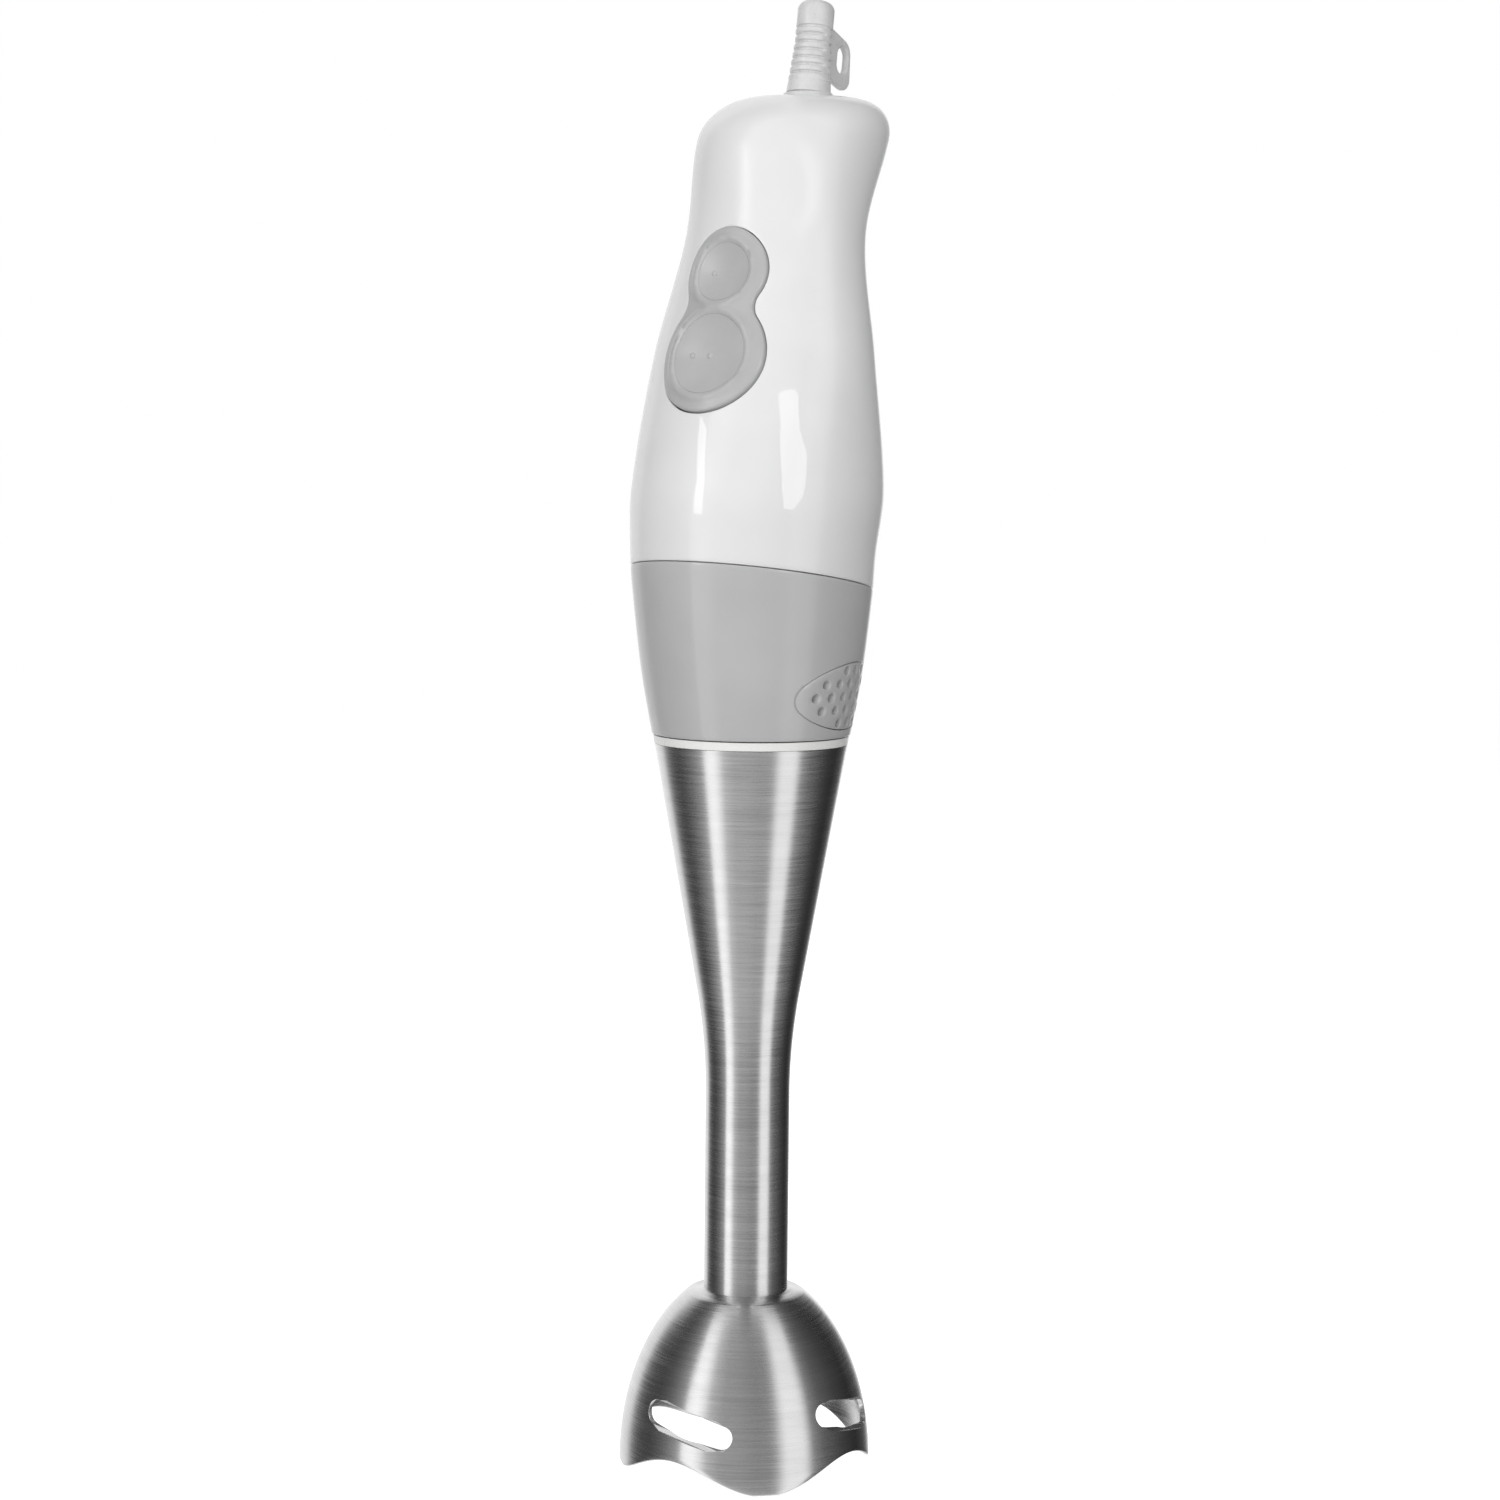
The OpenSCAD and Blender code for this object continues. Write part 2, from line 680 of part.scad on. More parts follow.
module strain_relief() {
    foot_h = 1.5;
    collar_h = 7.2;
    tip_h = 5.7;
    ribs = 6;
    rib_pitch = (relief_len - collar_h - tip_h) / ribs;
    rib_depth = 0.55;
    waist_h = 4;
    tip_round = 2.4;
    waist_z = relief_len - tip_h - waist_h;
    waist_r = relief_tip_r - 0.15;
    // The ribs grow smaller up to the waist, and wider again from there to the tip
    function rib_r(z) = z < waist_z
        ? waist_r + (relief_rib_r - waist_r) * (waist_z - z) / (waist_z - collar_h)
        : waist_r + (relief_tip_r - waist_r) * (z - waist_z) / waist_h;
    neck_low = -7;
    loop_mid = relief_len - 12.05;
    color("white") difference() {
        union() {
            // Round foot that lies flat on the housing
            translate([0, relief_y, handle_top_z + top_crown + 2 * eps])
                cylinder(r = relief_base_r, h = foot_h);
            in_relief() rotate_extrude() polygon(concat(
                [[0, neck_low], [relief_neck_r + 1.4, neck_low], [relief_neck_r + 1.4, neck_low + 2],
                 [relief_neck_r, neck_low + 2], [relief_neck_r, 1.1], [relief_rib_r + 0.5, 1.1],
                 [relief_rib_r + 0.1, collar_h - 0.6], [relief_rib_r, collar_h]],
                [for (i = [0:ribs - 1]) let (z = collar_h + i * rib_pitch, r = rib_r(z))
                    each [[r, z + eps], [r, z + 0.6 * rib_pitch],
                          [r - rib_depth, z + 0.7 * rib_pitch], [r - rib_depth, z + 0.95 * rib_pitch]]],
                [[relief_tip_r, relief_len - tip_h]],
                [for (i = [0:6]) let (a = 90 * i / 6)
                    [relief_tip_r - tip_round * (1 - cos(a)), relief_len - tip_round * (1 - sin(a))]],
                [[0, relief_len]]));
            // Hanging loop in the handle's plane of symmetry
            in_relief() translate([-loop_w / 2, 0, loop_mid]) rotate([90, 0, 90])
                linear_extrude(loop_w) loop_outline();
        }
        in_relief() translate([0, 0, neck_low - 3]) cylinder(r = cord_bore_r, h = relief_len + 20);
    }
}
// Plate that grows out of the strain relief's side, thickest below its oblong opening
module loop_outline() {
    root_r = 1.2;
    inner_x = cord_bore_r + 0.6 + root_r;
    slot_x = relief_rib_r + 7.3;
    slot_r = loop_gap / 2;
    half = loop_opening_h / 2;
    low_r = 3;
    high_r = 4.2;
    outer_x = slot_x + slot_r + loop_t;
    difference() {
        hull() {
            for (y = [-half - 1, half + 3.2]) translate([inner_x, y]) circle(r = root_r);
            translate([outer_x + 0.5 - low_r, -half - 4.1 + low_r]) circle(r = low_r);
            translate([outer_x - 0.3 - high_r, half + 2.4 - high_r]) circle(r = high_r);
        }
        hull() for (y = [slot_r - half, half - slot_r]) translate([slot_x, y]) circle(r = slot_r);
    }
}
module cord_clamp() {
    half_w = clamp_at + clamp_half_h;
    color("gainsboro") difference() {
        translate([-half_w, clamp_y - clamp_t - 0.1, clamp_z - clamp_half_h])
            cube([2 * half_w, clamp_t, 2 * clamp_half_h]);
        for (side = [-1, 1]) translate([side * clamp_at, clamp_y - 2 * clamp_t, clamp_z]) rotate([-90, 0, 0])
            cylinder(r = clamp_screw_r + 0.2, h = 4 * clamp_t);
    }
}
module screw(r, head_r, head_h, len) {
    slot_w = 0.7;
    translate([0, 0, -len]) cylinder(r = r, h = len + eps);
    difference() {
        cylinder(r = head_r, h = head_h);
        for (a = [0, 90]) rotate([0, 0, a]) translate([-0.6 * head_r, -slot_w / 2, head_h - slot_w])
            cube([1.2 * head_r, slot_w, slot_w + cut]);
    }
}
module clamp_screws() {
    color("silver") for (side = [-1, 1]) translate([side * clamp_at, clamp_y - clamp_t - 0.1, clamp_z])
        rotate([90, 0, 0]) screw(clamp_screw_r, 2.5, 1.8, clamp_screw_len);
}

/* Motor */

damper_t = 1.5;
bracket_z = ledge_z + ledge_t + damper_t;
bracket_t = 2;
stator_z = collar_z + stator_up;
stack_top_z = stator_z + stack_h;
commutator_z = stack_top_z + 6;
commutator_h = 10;
brush_z = commutator_z + commutator_h / 2;
upper_bracket_z = commutator_z + commutator_h + 2;
mount_rib_z = upper_bracket_z + 10;
motor_screw_r = 1.5;
motor_screw_angles = [45, 225];
bracket_leg_r = 3;
// The stator's corners stay clear of the collar's lip
stator_corner_r = collar_at(stator_z) - wall - lip_t - 0.3;
module at_motor_screws(z) {
    for (a = motor_screw_angles) rotate([0, 0, a]) translate([motor_screw_at, 0, z]) children();
}
module screw_legs(from_z, to_z) {
    at_motor_screws(from_z) cylinder(r = bracket_leg_r, h = to_z - from_z);
}
module screw_holes(from_z, to_z) {
    at_motor_screws(from_z) cylinder(r = motor_screw_r + fit_clear, h = to_z - from_z);
}

// A bracket's cup for a bearing, with the bore that the shaft runs through
module cup_bracket(from_z, to_z, bearing_z) {
    difference() {
        union() {
            translate([0, 0, from_z]) cylinder(r = cup_r, h = to_z - from_z);
            children();
        }
        translate([0, 0, bearing_z]) cylinder(r = bearing_r, h = bearing_h);
        translate([0, 0, from_z - cut]) cylinder(r = motor_shaft_r + 1, h = to_z - from_z + 2 * cut);
    }
}
lower_cup_z = bracket_z + 0.8;
upper_cup_z = upper_bracket_z + 2;
module lower_bracket() {
    disc_r = collar_at(bracket_z) - wall - 0.5;
    air_hole_r = 4;
    air_hole_at = 14.5;
    color("gainsboro") difference() {
        cup_bracket(bracket_z - 1, bracket_z + bearing_h + 1, lower_cup_z) {
            translate([0, 0, bracket_z]) cylinder(r = disc_r, h = bracket_t);
            screw_legs(bracket_z, stator_z);
        }
        screw_holes(bracket_z - cut, stator_z + cut);
        translate([0, 0, lower_cup_z + bearing_h - eps]) cylinder(r = bearing_r, h = 5);
        for (a = [15:60:315]) rotate([0, 0, a]) translate([air_hole_at, 0, bracket_z - cut])
            cylinder(r = air_hole_r, h = bracket_t + 3 * cut);
    }
}
module upper_bracket() {
    strap_w = 10;
    color("gainsboro") difference() {
        cup_bracket(upper_bracket_z, upper_bracket_z + bearing_h + 2, upper_cup_z) {
            rotate([0, 0, motor_screw_angles[0]]) translate([-motor_screw_at, -strap_w / 2, upper_bracket_z])
                cube([2 * motor_screw_at, strap_w, bracket_t]);
            screw_legs(stack_top_z, upper_bracket_z + bracket_t);
        }
        screw_holes(stack_top_z - cut, upper_bracket_z + bracket_t + 3 * cut);
    }
}
module bearing(z) {
    translate([0, 0, z + fit_clear]) difference() {
        cylinder(r = bearing_r - fit_clear / 2, h = bearing_h - 2 * fit_clear);
        translate([0, 0, -cut]) cylinder(r = motor_shaft_r + bush_clear, h = bearing_h + 2 * cut);
    }
}
module lower_bearing() { color("peru") bearing(lower_cup_z); }
module upper_bearing() { color("peru") bearing(upper_cup_z); }
module motor_screws() {
    head_z = upper_bracket_z + bracket_t;
    color("silver") at_motor_screws(head_z) screw(motor_screw_r, 2.6, 1.8, head_z - bracket_z - 0.5);
}
module upper_damper() {
    h = 5;
    cup_depth = 2.1;
    color("dimgray") translate([0, 0, mount_rib_z - 4]) difference() {
        cylinder(r = upper_damper_r, h = h);
        translate([0, 0, -cut]) cylinder(r = cup_r + fit_clear / 2, h = cup_depth + cut);
        cylinder(r = 5, h = h + cut);
    }
}
module lower_damper() {
    color("dimgray") translate([0, 0, ledge_z + ledge_t]) difference() {
        cylinder(r = collar_at(bracket_z) - wall - 0.6, h = damper_t - 2 * eps);
        translate([0, 0, -cut]) cylinder(r = ledge_r + 0.2, h = damper_t + 2 * cut);
    }
}

// Windows in the stator for the field coils, between two radii
window_low = 14.6;
window_high = 18.8;
window_turn = 30;
module stator_core() {
    color("slategray") difference() {
        intersection() {
            translate([-stator_w / 2, -stator_w / 2, stator_z]) cube([stator_w, stator_w, stack_h]);
            translate([0, 0, stator_z]) cylinder(r = stator_corner_r, h = stack_h);
        }
        translate([0, 0, stator_z - cut]) cylinder(r = armature_r + air_gap, h = stack_h + 2 * cut);
        for (a = [30:90:300]) rotate([0, 0, a]) translate([0, 0, stator_z - cut])
            rotate_extrude(angle = window_turn) translate([window_low, 0])
                square([window_high - window_low, stack_h + 2 * cut]);
        screw_holes(stator_z - cut, stack_top_z + cut);
    }
}
module field_coils() {
    overhang = 5;
    gap = 0.2;
    w = window_high - window_low - 2 * gap;
    low_z = stator_z - overhang;
    // Two bars in the windows, joined by an arc at each end of the stack
    color("chocolate") for (turn = [0, 180]) rotate([0, 0, turn]) {
        for (a = [31, 121]) rotate([0, 0, a]) translate([0, 0, low_z])
            rotate_extrude(angle = window_turn - 2) translate([window_low + gap, 0])
                square([w, stack_h + 2 * overhang]);
        for (z = [low_z, stack_top_z + 0.3]) rotate([0, 0, 31]) translate([0, 0, z])
            rotate_extrude(angle = 88 + window_turn) translate([window_low + gap, 0])
                square([w, overhang - 0.3]);
    }
}

// Carbon brushes in their holders on both sides of the commutator
brush_len = 8.1;
brush_w = 5;
brush_h = 4.2;
holder_len = 14.5;
holder_wall = 1;
module on_both_sides() {
    for (side = [0, 180]) rotate([0, 0, side]) translate([commutator_r, 0, brush_z]) children();
}
module brush_holders() {
    inner = [holder_len, brush_w + 2 * fit_clear, brush_h + 2 * fit_clear];
    color("goldenrod") on_both_sides() translate([1.5, 0, 0]) difference() {
        translate([0, -inner[1] / 2 - holder_wall, -inner[2] / 2 - holder_wall])
            cube([holder_len, inner[1] + 2 * holder_wall, inner[2] + 2 * holder_wall]);
        translate([-holder_wall, -inner[1] / 2, -inner[2] / 2]) cube(inner);
    }
}
module carbon_brushes() {
    color("black") on_both_sides() difference() {
        translate([-0.6, -brush_w / 2, -brush_h / 2]) cube([brush_len, brush_w, brush_h]);
        translate([-commutator_r, 0, -brush_h]) cylinder(r = commutator_r + bush_clear, h = 2 * brush_h);
    }
}
module brush_springs() {
    wire_r = 0.35;
    coil_r = 1.5;
    coils = 4;
    steps = 10;
    spring_len = 6.2;
    rise = (spring_len - 2 * wire_r) / (coils * steps);
    color("silver") on_both_sides() translate([brush_len - 0.5 + wire_r, 0, 0]) rotate([0, 90, 0])
        skin([for (i = [0:coils * steps]) let (a = 360 * i / steps)
            [for (b = [0:-60:-300]) let (r = coil_r + wire_r * cos(b))
                [r * cos(a), r * sin(a), rise * i + wire_r * sin(b)]]]);
}
module motor_shaft() {
    from_z = dog_z + dog_socket_h;
    color("silver") translate([0, 0, from_z])
        cylinder(r = motor_shaft_r, h = upper_bracket_z + bearing_h + 3.4 - from_z);
}

// Armature: a slotted core, its windings and the commutator
slots = 12;
slot_at = armature_r - 2.6;
slot_r = 1.7;
module armature_core() {
    mouth_w = 1.2;
    color("gray") translate([0, 0, stator_z]) difference() {
        cylinder(r = armature_r, h = stack_h);
        translate([0, 0, -cut]) cylinder(r = motor_shaft_r, h = stack_h + 2 * cut);
        for (i = [0:slots - 1]) rotate([0, 0, i * 360 / slots]) {
            translate([slot_at, 0, -cut]) cylinder(r = slot_r, h = stack_h + 2 * cut, $fn = 24);
            translate([armature_r - 2, -mouth_w / 2, -cut]) cube([4, mouth_w, stack_h + 2 * cut]);
        }
    }
}
module armature_windings() {
    turns_h = 4.4;
    color("chocolate") {
        for (z = [stator_z - turns_h, stack_top_z]) translate([0, 0, z]) difference() {
            cylinder(r = armature_r - 0.8, h = turns_h);
            translate([0, 0, -cut]) cylinder(r = motor_shaft_r, h = turns_h + 2 * cut);
        }
        for (i = [0:slots - 1]) rotate([0, 0, i * 360 / slots]) translate([slot_at, 0, stator_z - eps])
            cylinder(r = slot_r - fit_clear, h = stack_h + 2 * eps, $fn = 24);
    }
}
module commutator() {
    slit_w = 0.5;
    slit_depth = 0.8;
    color("peru") translate([0, 0, commutator_z]) difference() {
        cylinder(r = commutator_r, h = commutator_h);
        translate([0, 0, -cut]) cylinder(r = motor_shaft_r, h = commutator_h + 2 * cut);
        for (i = [0:slots - 1]) rotate([0, 0, i * 360 / slots])
            translate([commutator_r - slit_depth, -slit_w / 2, -cut])
                cube([2, slit_w, commutator_h + 2 * cut]);
    }
}
module cooling_fan() {
    fan_z = collar_z + 3.8;
    fan_h = ledge_z - fan_z - 0.4;
    disc_t = 1.2;
    hub_r = 5;
    color("ivory") translate([0, 0, fan_z]) difference() {
        union() {
            cylinder(r = fan_r, h = disc_t);
            cylinder(r = hub_r, h = fan_h);
            for (i = [0:fan_blades - 1]) rotate([0, 0, i * 360 / fan_blades])
                translate([hub_r - 1, -disc_t / 2, 0]) cube([fan_r - hub_r + 0.8, disc_t, fan_h]);
        }
        translate([0, 0, -cut]) cylinder(r = motor_shaft_r, h = fan_h + 2 * cut);
    }
}
// Round wire through a list of points
module wire(points, r) {
    for (i = [0:len(points) - 2]) {
        d = points[i + 1] - points[i];
        translate(points[i]) rotate([0, acos(d[2] / norm(d)), atan2(d[1], d[0])])
            cylinder(r = r, h = norm(d));
        if (i < len(points) - 2) translate(points[i + 1]) sphere(r = 1.04 * r);
    }
}
module motor_leads() {
    x = lead_at[0];
    y = lead_at[1];
    color("steelblue") for (side = [-1, 1])
        wire([[side * 10, pad_y + 21, pad_z - 19], [side * (x - 1), y, mount_rib_z + 5],
              [side * x, y, mount_rib_z - 6], [side * (x + 1), y + 3.4, brush_z + 2],
              [side * (x + 1), y + 2.6, brush_z]], lead_r);
}

/* Drive coupling: a socket on the motor and a star on the leg's shaft */

dog_z = collar_z - boss_h + 4.2;
dog_r = 8.4;
dog_h = 13;
dog_socket_h = 7;
star_core_r = 3;
star_r = 5.8;
star_tooth_w = 2;
star_top_z = dog_z + dog_socket_h - 0.6;
module star(clear, h) {
    r = star_r + clear;
    w = star_tooth_w + 2 * clear;
    cylinder(r = star_core_r + clear, h = h);
    for (a = [0, 90]) rotate([0, 0, a]) translate([-r, -w / 2, 0]) cube([2 * r, w, h]);
}
module motor_dog() {
    color("dimgray") translate([0, 0, dog_z]) difference() {
        cylinder(r = dog_r, h = dog_h);
        translate([0, 0, dog_socket_h - eps]) cylinder(r = motor_shaft_r, h = dog_h);
        translate([0, 0, -cut]) star(dog_clear, dog_socket_h + cut - 0.1);
    }
}

/* Boss on the motor unit, coupler in the leg */

boss_low_z = collar_z - boss_h;
boss_bore_r = dog_r + 1;
boss_wall = 2.5;
boss_flange_t = 1.9;
// Three lugs that run down helical grooves in the coupler
lugs = 3;
lug_arc = 24;
lug_h = 3;
lug_out = 1.7;
lug_z = ring_top_z - twist_drop + 0.2;
module at_lugs() {
    for (i = [0:lugs - 1]) rotate([0, 0, i * 360 / lugs]) children();
}
module leg_boss() {
    color("whitesmoke") difference() {
        union() {
            translate([0, 0, collar_z]) cylinder(r = collar_r - rebate_t - fit_clear, h = boss_flange_t);
            translate([0, 0, boss_low_z]) cylinder(r = boss_r, h = boss_h + 1);
            at_lugs() translate([0, 0, lug_z]) rotate_extrude(angle = lug_arc)
                translate([boss_r - 1, 0]) square([1 + lug_out, lug_h]);
        }
        translate([0, 0, boss_low_z - cut]) cylinder(r = boss_bore_r, h = boss_h + 5);
        translate([0, 0, boss_low_z + boss_wall]) difference() {
            cylinder(r = boss_r - boss_wall, h = boss_h + 5);
            translate([0, 0, -cut]) cylinder(r = boss_bore_r + 2.2, h = boss_h + 8);
        }
        at_boss_screws() translate([0, 0, -cut]) {
            cylinder(r = boss_screw_r + fit_clear, h = 5);
            cylinder(r = boss_post_r, h = 2.2);
        }
    }
}
module boss_screws() {
    color("silver") at_boss_screws() translate([0, 0, 1.2]) rotate([180, 0, 0])
        screw(boss_screw_r, 2, 1, 7.8);
}

// Floor of the coupler under the boss, with the hub for the upper bush
seal_t = 1.3;
floor_z = boss_low_z - seal_t;
floor_t = 2.4;
hub_r = 8.5;
hub_h = 12;
hub_low_z = floor_z - hub_h;
bush_r = 5.5;
bush_h = 8;
module leg_seal() {
    gap = 0.06;
    color("dimgray") translate([0, 0, floor_z + gap]) difference() {
        cylinder(r = boss_r - boss_wall, h = seal_t - 0.14);
        translate([0, 0, -cut]) cylinder(r = 12.5, h = seal_t + 2 * cut);
    }
}
// Helical groove for one lug, open at the top
module lug_groove() {
    spare = 1.5;
    steps = 6;
    levels = 12;
    low_z = lug_z - 0.4;
    h = ring_top_z - low_z + 0.2;
    turn = 90 / twist_drop;
    half_arc = lug_arc / 2 + turn * lug_h / 2 + spare;
    sweep = [for (i = [0:steps]) half_arc * (2 * i / steps - 1)];
    outer_r = boss_r + lug_out + 0.5;
    inner_r = boss_r - 1;
    skin([for (j = [0:levels])
        let (z = low_z + h * j / levels, mid = lug_arc / 2 + turn * (lug_z + lug_h / 2 - z))
        concat(
            [for (a = sweep) [outer_r * cos(mid + a), outer_r * sin(mid + a), z]],
            [for (a = sweep) [inner_r * cos(mid - a), inner_r * sin(mid - a), z]])]);
}
module leg_coupler() {
    seat_z = leg_top_z + 2 * eps;
    low_z = floor_z - floor_t;
    function inside_r(z) = cone_r(z) - tube_t - fit_clear;
    color("whitesmoke") difference() {
        union() {
            rotate_extrude() polygon([[0, ring_top_z], [leg_top_r + 0.3, ring_top_z], [leg_top_r, seat_z],
                [inside_r(leg_top_z) - 0.7, seat_z], [inside_r(leg_top_z - 1), leg_top_z - 1],
                [inside_r(low_z), low_z], [0, low_z]]);
            translate([0, 0, hub_low_z]) cylinder(r = hub_r, h = hub_h);
        }
        translate([0, 0, floor_z]) cylinder(r = boss_r + boss_clear, h = 60);
        translate([0, 0, hub_low_z - cut]) cylinder(r = bush_r, h = hub_h + 5);
        at_lugs() lug_groove();
    }
}
module bush(z, h) {
    translate([0, 0, z]) difference() {
        cylinder(r = bush_r - fit_clear / 2, h = h);
        translate([0, 0, -cut]) cylinder(r = shaft_r + bush_clear, h = h + 2 * cut);
    }
}
module upper_bush() { color("peru") bush(hub_low_z + 1, bush_h); }

/* Steel leg */

function cone_r(z) = leg_top_r - (leg_top_z - z) * tan(cone_angle);
// Where the long curve leaves the cone and where it meets the tube
blend_step = cone_blend_r * (1 - cos(cone_angle));
blend_top_z = leg_top_z - (leg_top_r - tube_r - blend_step) / tan(cone_angle);
blend_low_z = blend_top_z - cone_blend_r * sin(cone_angle);
function leg_outline(inset) = concat(
    [[leg_top_r - inset, leg_top_z]],
    [for (i = [0:10]) let (a = cone_angle * (1 - i / 10))
        [tube_r - inset + cone_blend_r * (1 - cos(a)), blend_low_z + cone_blend_r * sin(a)]],
    [[tube_r - inset, bell_top_z + eps]]);
module leg_tube() {
    inner = leg_outline(tube_t);
    color("silver") rotate_extrude($fn = 96) polygon(concat(leg_outline(0),
        [for (i = [len(inner) - 1:-1:0]) inner[i]]));
}

/* Bell */

function bell_out(z, inset = 0) = (bell_r - inset) * sqrt(max(0, 1 - (z / (bell_curve_h - inset))^2));
carrier_neck_r = 8;
module blade_guard() {
    steps = 14;
    shoulder_r = 14.2;
    neck_r = carrier_neck_r + fit_clear;
    top_in = bell_top_z - bell_t;
    outside = [for (i = [0:steps]) let (z = i * (bell_top_z - 1.2) / steps) [bell_out(z), z]];
    inside = [for (i = [steps:-1:0]) let (z = i * (bell_top_z - 3.2) / steps) [bell_out(z, bell_t), z]];
    color("silver") difference() {
        rotate_extrude($fn = 96) polygon(concat(outside,
            [[shoulder_r, bell_top_z], [neck_r, bell_top_z], [neck_r, top_in], [shoulder_r - 1, top_in]],
            inside));
        scallops();
        for (i = [0:3]) rotate([0, 0, slot_angle + 90 * i]) translate([0, -18, slot_z])
            rotate([90, 0, 0]) rotate([0, 0, -slot_tilt]) {
                translate([-slot_len / 2, -slot_h / 2, 0]) cube([slot_len, slot_h, 30]);
                for (end = [-1, 1]) translate([end * slot_len / 2, 0, 0]) cylinder(d = slot_h, h = 30);
            }
    }
}
// Wavy cutter that leaves four feet between four scallops
foot_flat = 0.3;
function rim_z(a) = max(0, (scallop_h + foot_flat) * (0.5 + 0.5 * cos(4 * a)) - foot_flat);
module scallops() {
    n = 96;
    depth = 5;
    skin([for (ring = [[bell_r + 4, false], [bell_r + 4, true], [0.6 * bell_r, true]])
        [for (i = [0:n - 1]) let (a = 360 * i / n)
            [ring[0] * sin(a), -ring[0] * cos(a), ring[1] ? rim_z(a) : -depth]]]);
}
// Carrier in the bell's neck for the lower bush and its seal
seal_z = bell_top_z - 15;
seal_r = 6;
seal_depth = 2.5;
module bearing_carrier() {
    color("whitesmoke") difference() {
        union() {
            translate([0, 0, bell_top_z + 0.05]) cylinder(r = tube_r - tube_t - fit_clear, h = 14);
            translate([0, 0, seal_z]) cylinder(r = carrier_neck_r, h = 16);
        }
        translate([0, 0, seal_z - cut]) cylinder(r = shaft_r + 0.5, h = 40);
        translate([0, 0, seal_z + 3]) cylinder(r = bush_r, h = bush_h + 2);
        translate([0, 0, seal_z - cut]) cylinder(r = seal_r, h = seal_depth + cut);
    }
}
module lower_bush() { color("peru") bush(seal_z + 3 + fit_clear, bush_h + 2 - 2 * fit_clear); }
module shaft_seal() {
    color("dimgray") translate([0, 0, seal_z + fit_clear]) difference() {
        cylinder(r = seal_r - fit_clear / 2, h = seal_depth - 2 * fit_clear);
        translate([0, 0, -cut]) cylinder(r = shaft_r + bush_clear, h = seal_depth + 2 * cut);
    }
}

/* Drive shaft and blade */

blade_stud_r = 2.4;
dog_stud_r = 2;
dog_stud_top_z = star_top_z - 1.4;
// Snap ring in a groove over the upper bush
clip_z = hub_low_z + 1 + bush_h + 0.6;
clip_h = 0.9;
groove_r = shaft_r - 0.5;
module drive_shaft() {
    low_z = blade_z + blade_t;
    color("silver") difference() {
        union() {
            translate([0, 0, low_z]) cylinder(r = shaft_r, h = floor_z + 2 - low_z);
            translate([0, 0, blade_z - 5.2]) cylinder(r = blade_stud_r, h = 8);
            translate([0, 0, floor_z + 1]) cylinder(r = dog_stud_r, h = dog_stud_top_z - floor_z - 1);
        }
        translate([0, 0, clip_z]) difference() {
            cylinder(r = shaft_r + 1, h = clip_h);
            cylinder(r = groove_r, h = clip_h);
        }
    }
}
module shaft_dog() {
    base_z = floor_z + 2 + 2 * eps;
    color("dimgray") difference() {
        translate([0, 0, base_z]) {
            cylinder(r = 6, h = 1.6);
            star(0, star_top_z - base_z);
        }
        translate([0, 0, base_z - cut]) cylinder(r = dog_stud_r, h = dog_stud_top_z - base_z + cut);
    }
}
module shaft_clip() {
    mouth_w = 2.4;
    color("silver") translate([0, 0, clip_z + fit_clear / 2]) difference() {
        cylinder(r = 4.7, h = clip_h - fit_clear);
        translate([0, 0, -cut]) cylinder(r = groove_r, h = clip_h + 2 * cut);
        translate([0, -mouth_w / 2, -cut]) cube([6, mouth_w, clip_h + 2 * cut]);
    }
}
module thrust_washer() {
    t = 0.8;
    color("ivory") translate([0, 0, seal_z - t - 0.3]) difference() {
        cylinder(r = bush_r, h = t);
        translate([0, 0, -cut]) cylinder(r = shaft_r, h = t + 2 * cut);
    }
}
// A wing is a flat root and a tip that is bent up or down
wing_from = 4.9;
tip_len = 6;
module wing(tip_bend) {
    bend_at = blade_r - tip_len;
    translate([0, 0, -blade_t / 2]) linear_extrude(blade_t)
        polygon([[wing_from, -0.42 * blade_w], [bend_at, -0.36 * blade_w], [bend_at + 1, -0.1 * blade_w],
            [bend_at + 1, 0.36 * blade_w], [wing_from, 0.42 * blade_w]]);
    translate([bend_at, 0, 0]) rotate([0, tip_bend, 0]) translate([0, 0, -blade_t / 2])
        linear_extrude(blade_t)
            polygon([[0, -0.34 * blade_w], [tip_len - 0.4, -0.1 * blade_w], [tip_len, 0.1 * blade_w],
                [tip_len - 1, 0.3 * blade_w], [0, 0.34 * blade_w]]);
}
module blade() {
    color("silver") difference() {
        union() {
            translate([0, 0, blade_z]) cylinder(r = blade_w / 2 + 0.5, h = blade_t);
            for (side = [[0, -22], [180, 14]]) rotate([0, 0, side[0]])
                translate([0, 0, blade_z + blade_t / 2]) rotate([blade_pitch, 0, 0]) wing(side[1]);
        }
        translate([0, 0, blade_z - 5]) cylinder(r = blade_stud_r, h = 10);
    }
}
module blade_nut() {
    h = 4;
    color("silver") translate([0, 0, blade_z - h]) difference() {
        cylinder(r = 4.6, h = h - 2 * eps, $fn = 6);
        translate([0, 0, -cut]) cylinder(r = blade_stud_r, h = h + 2 * cut);
    }
}

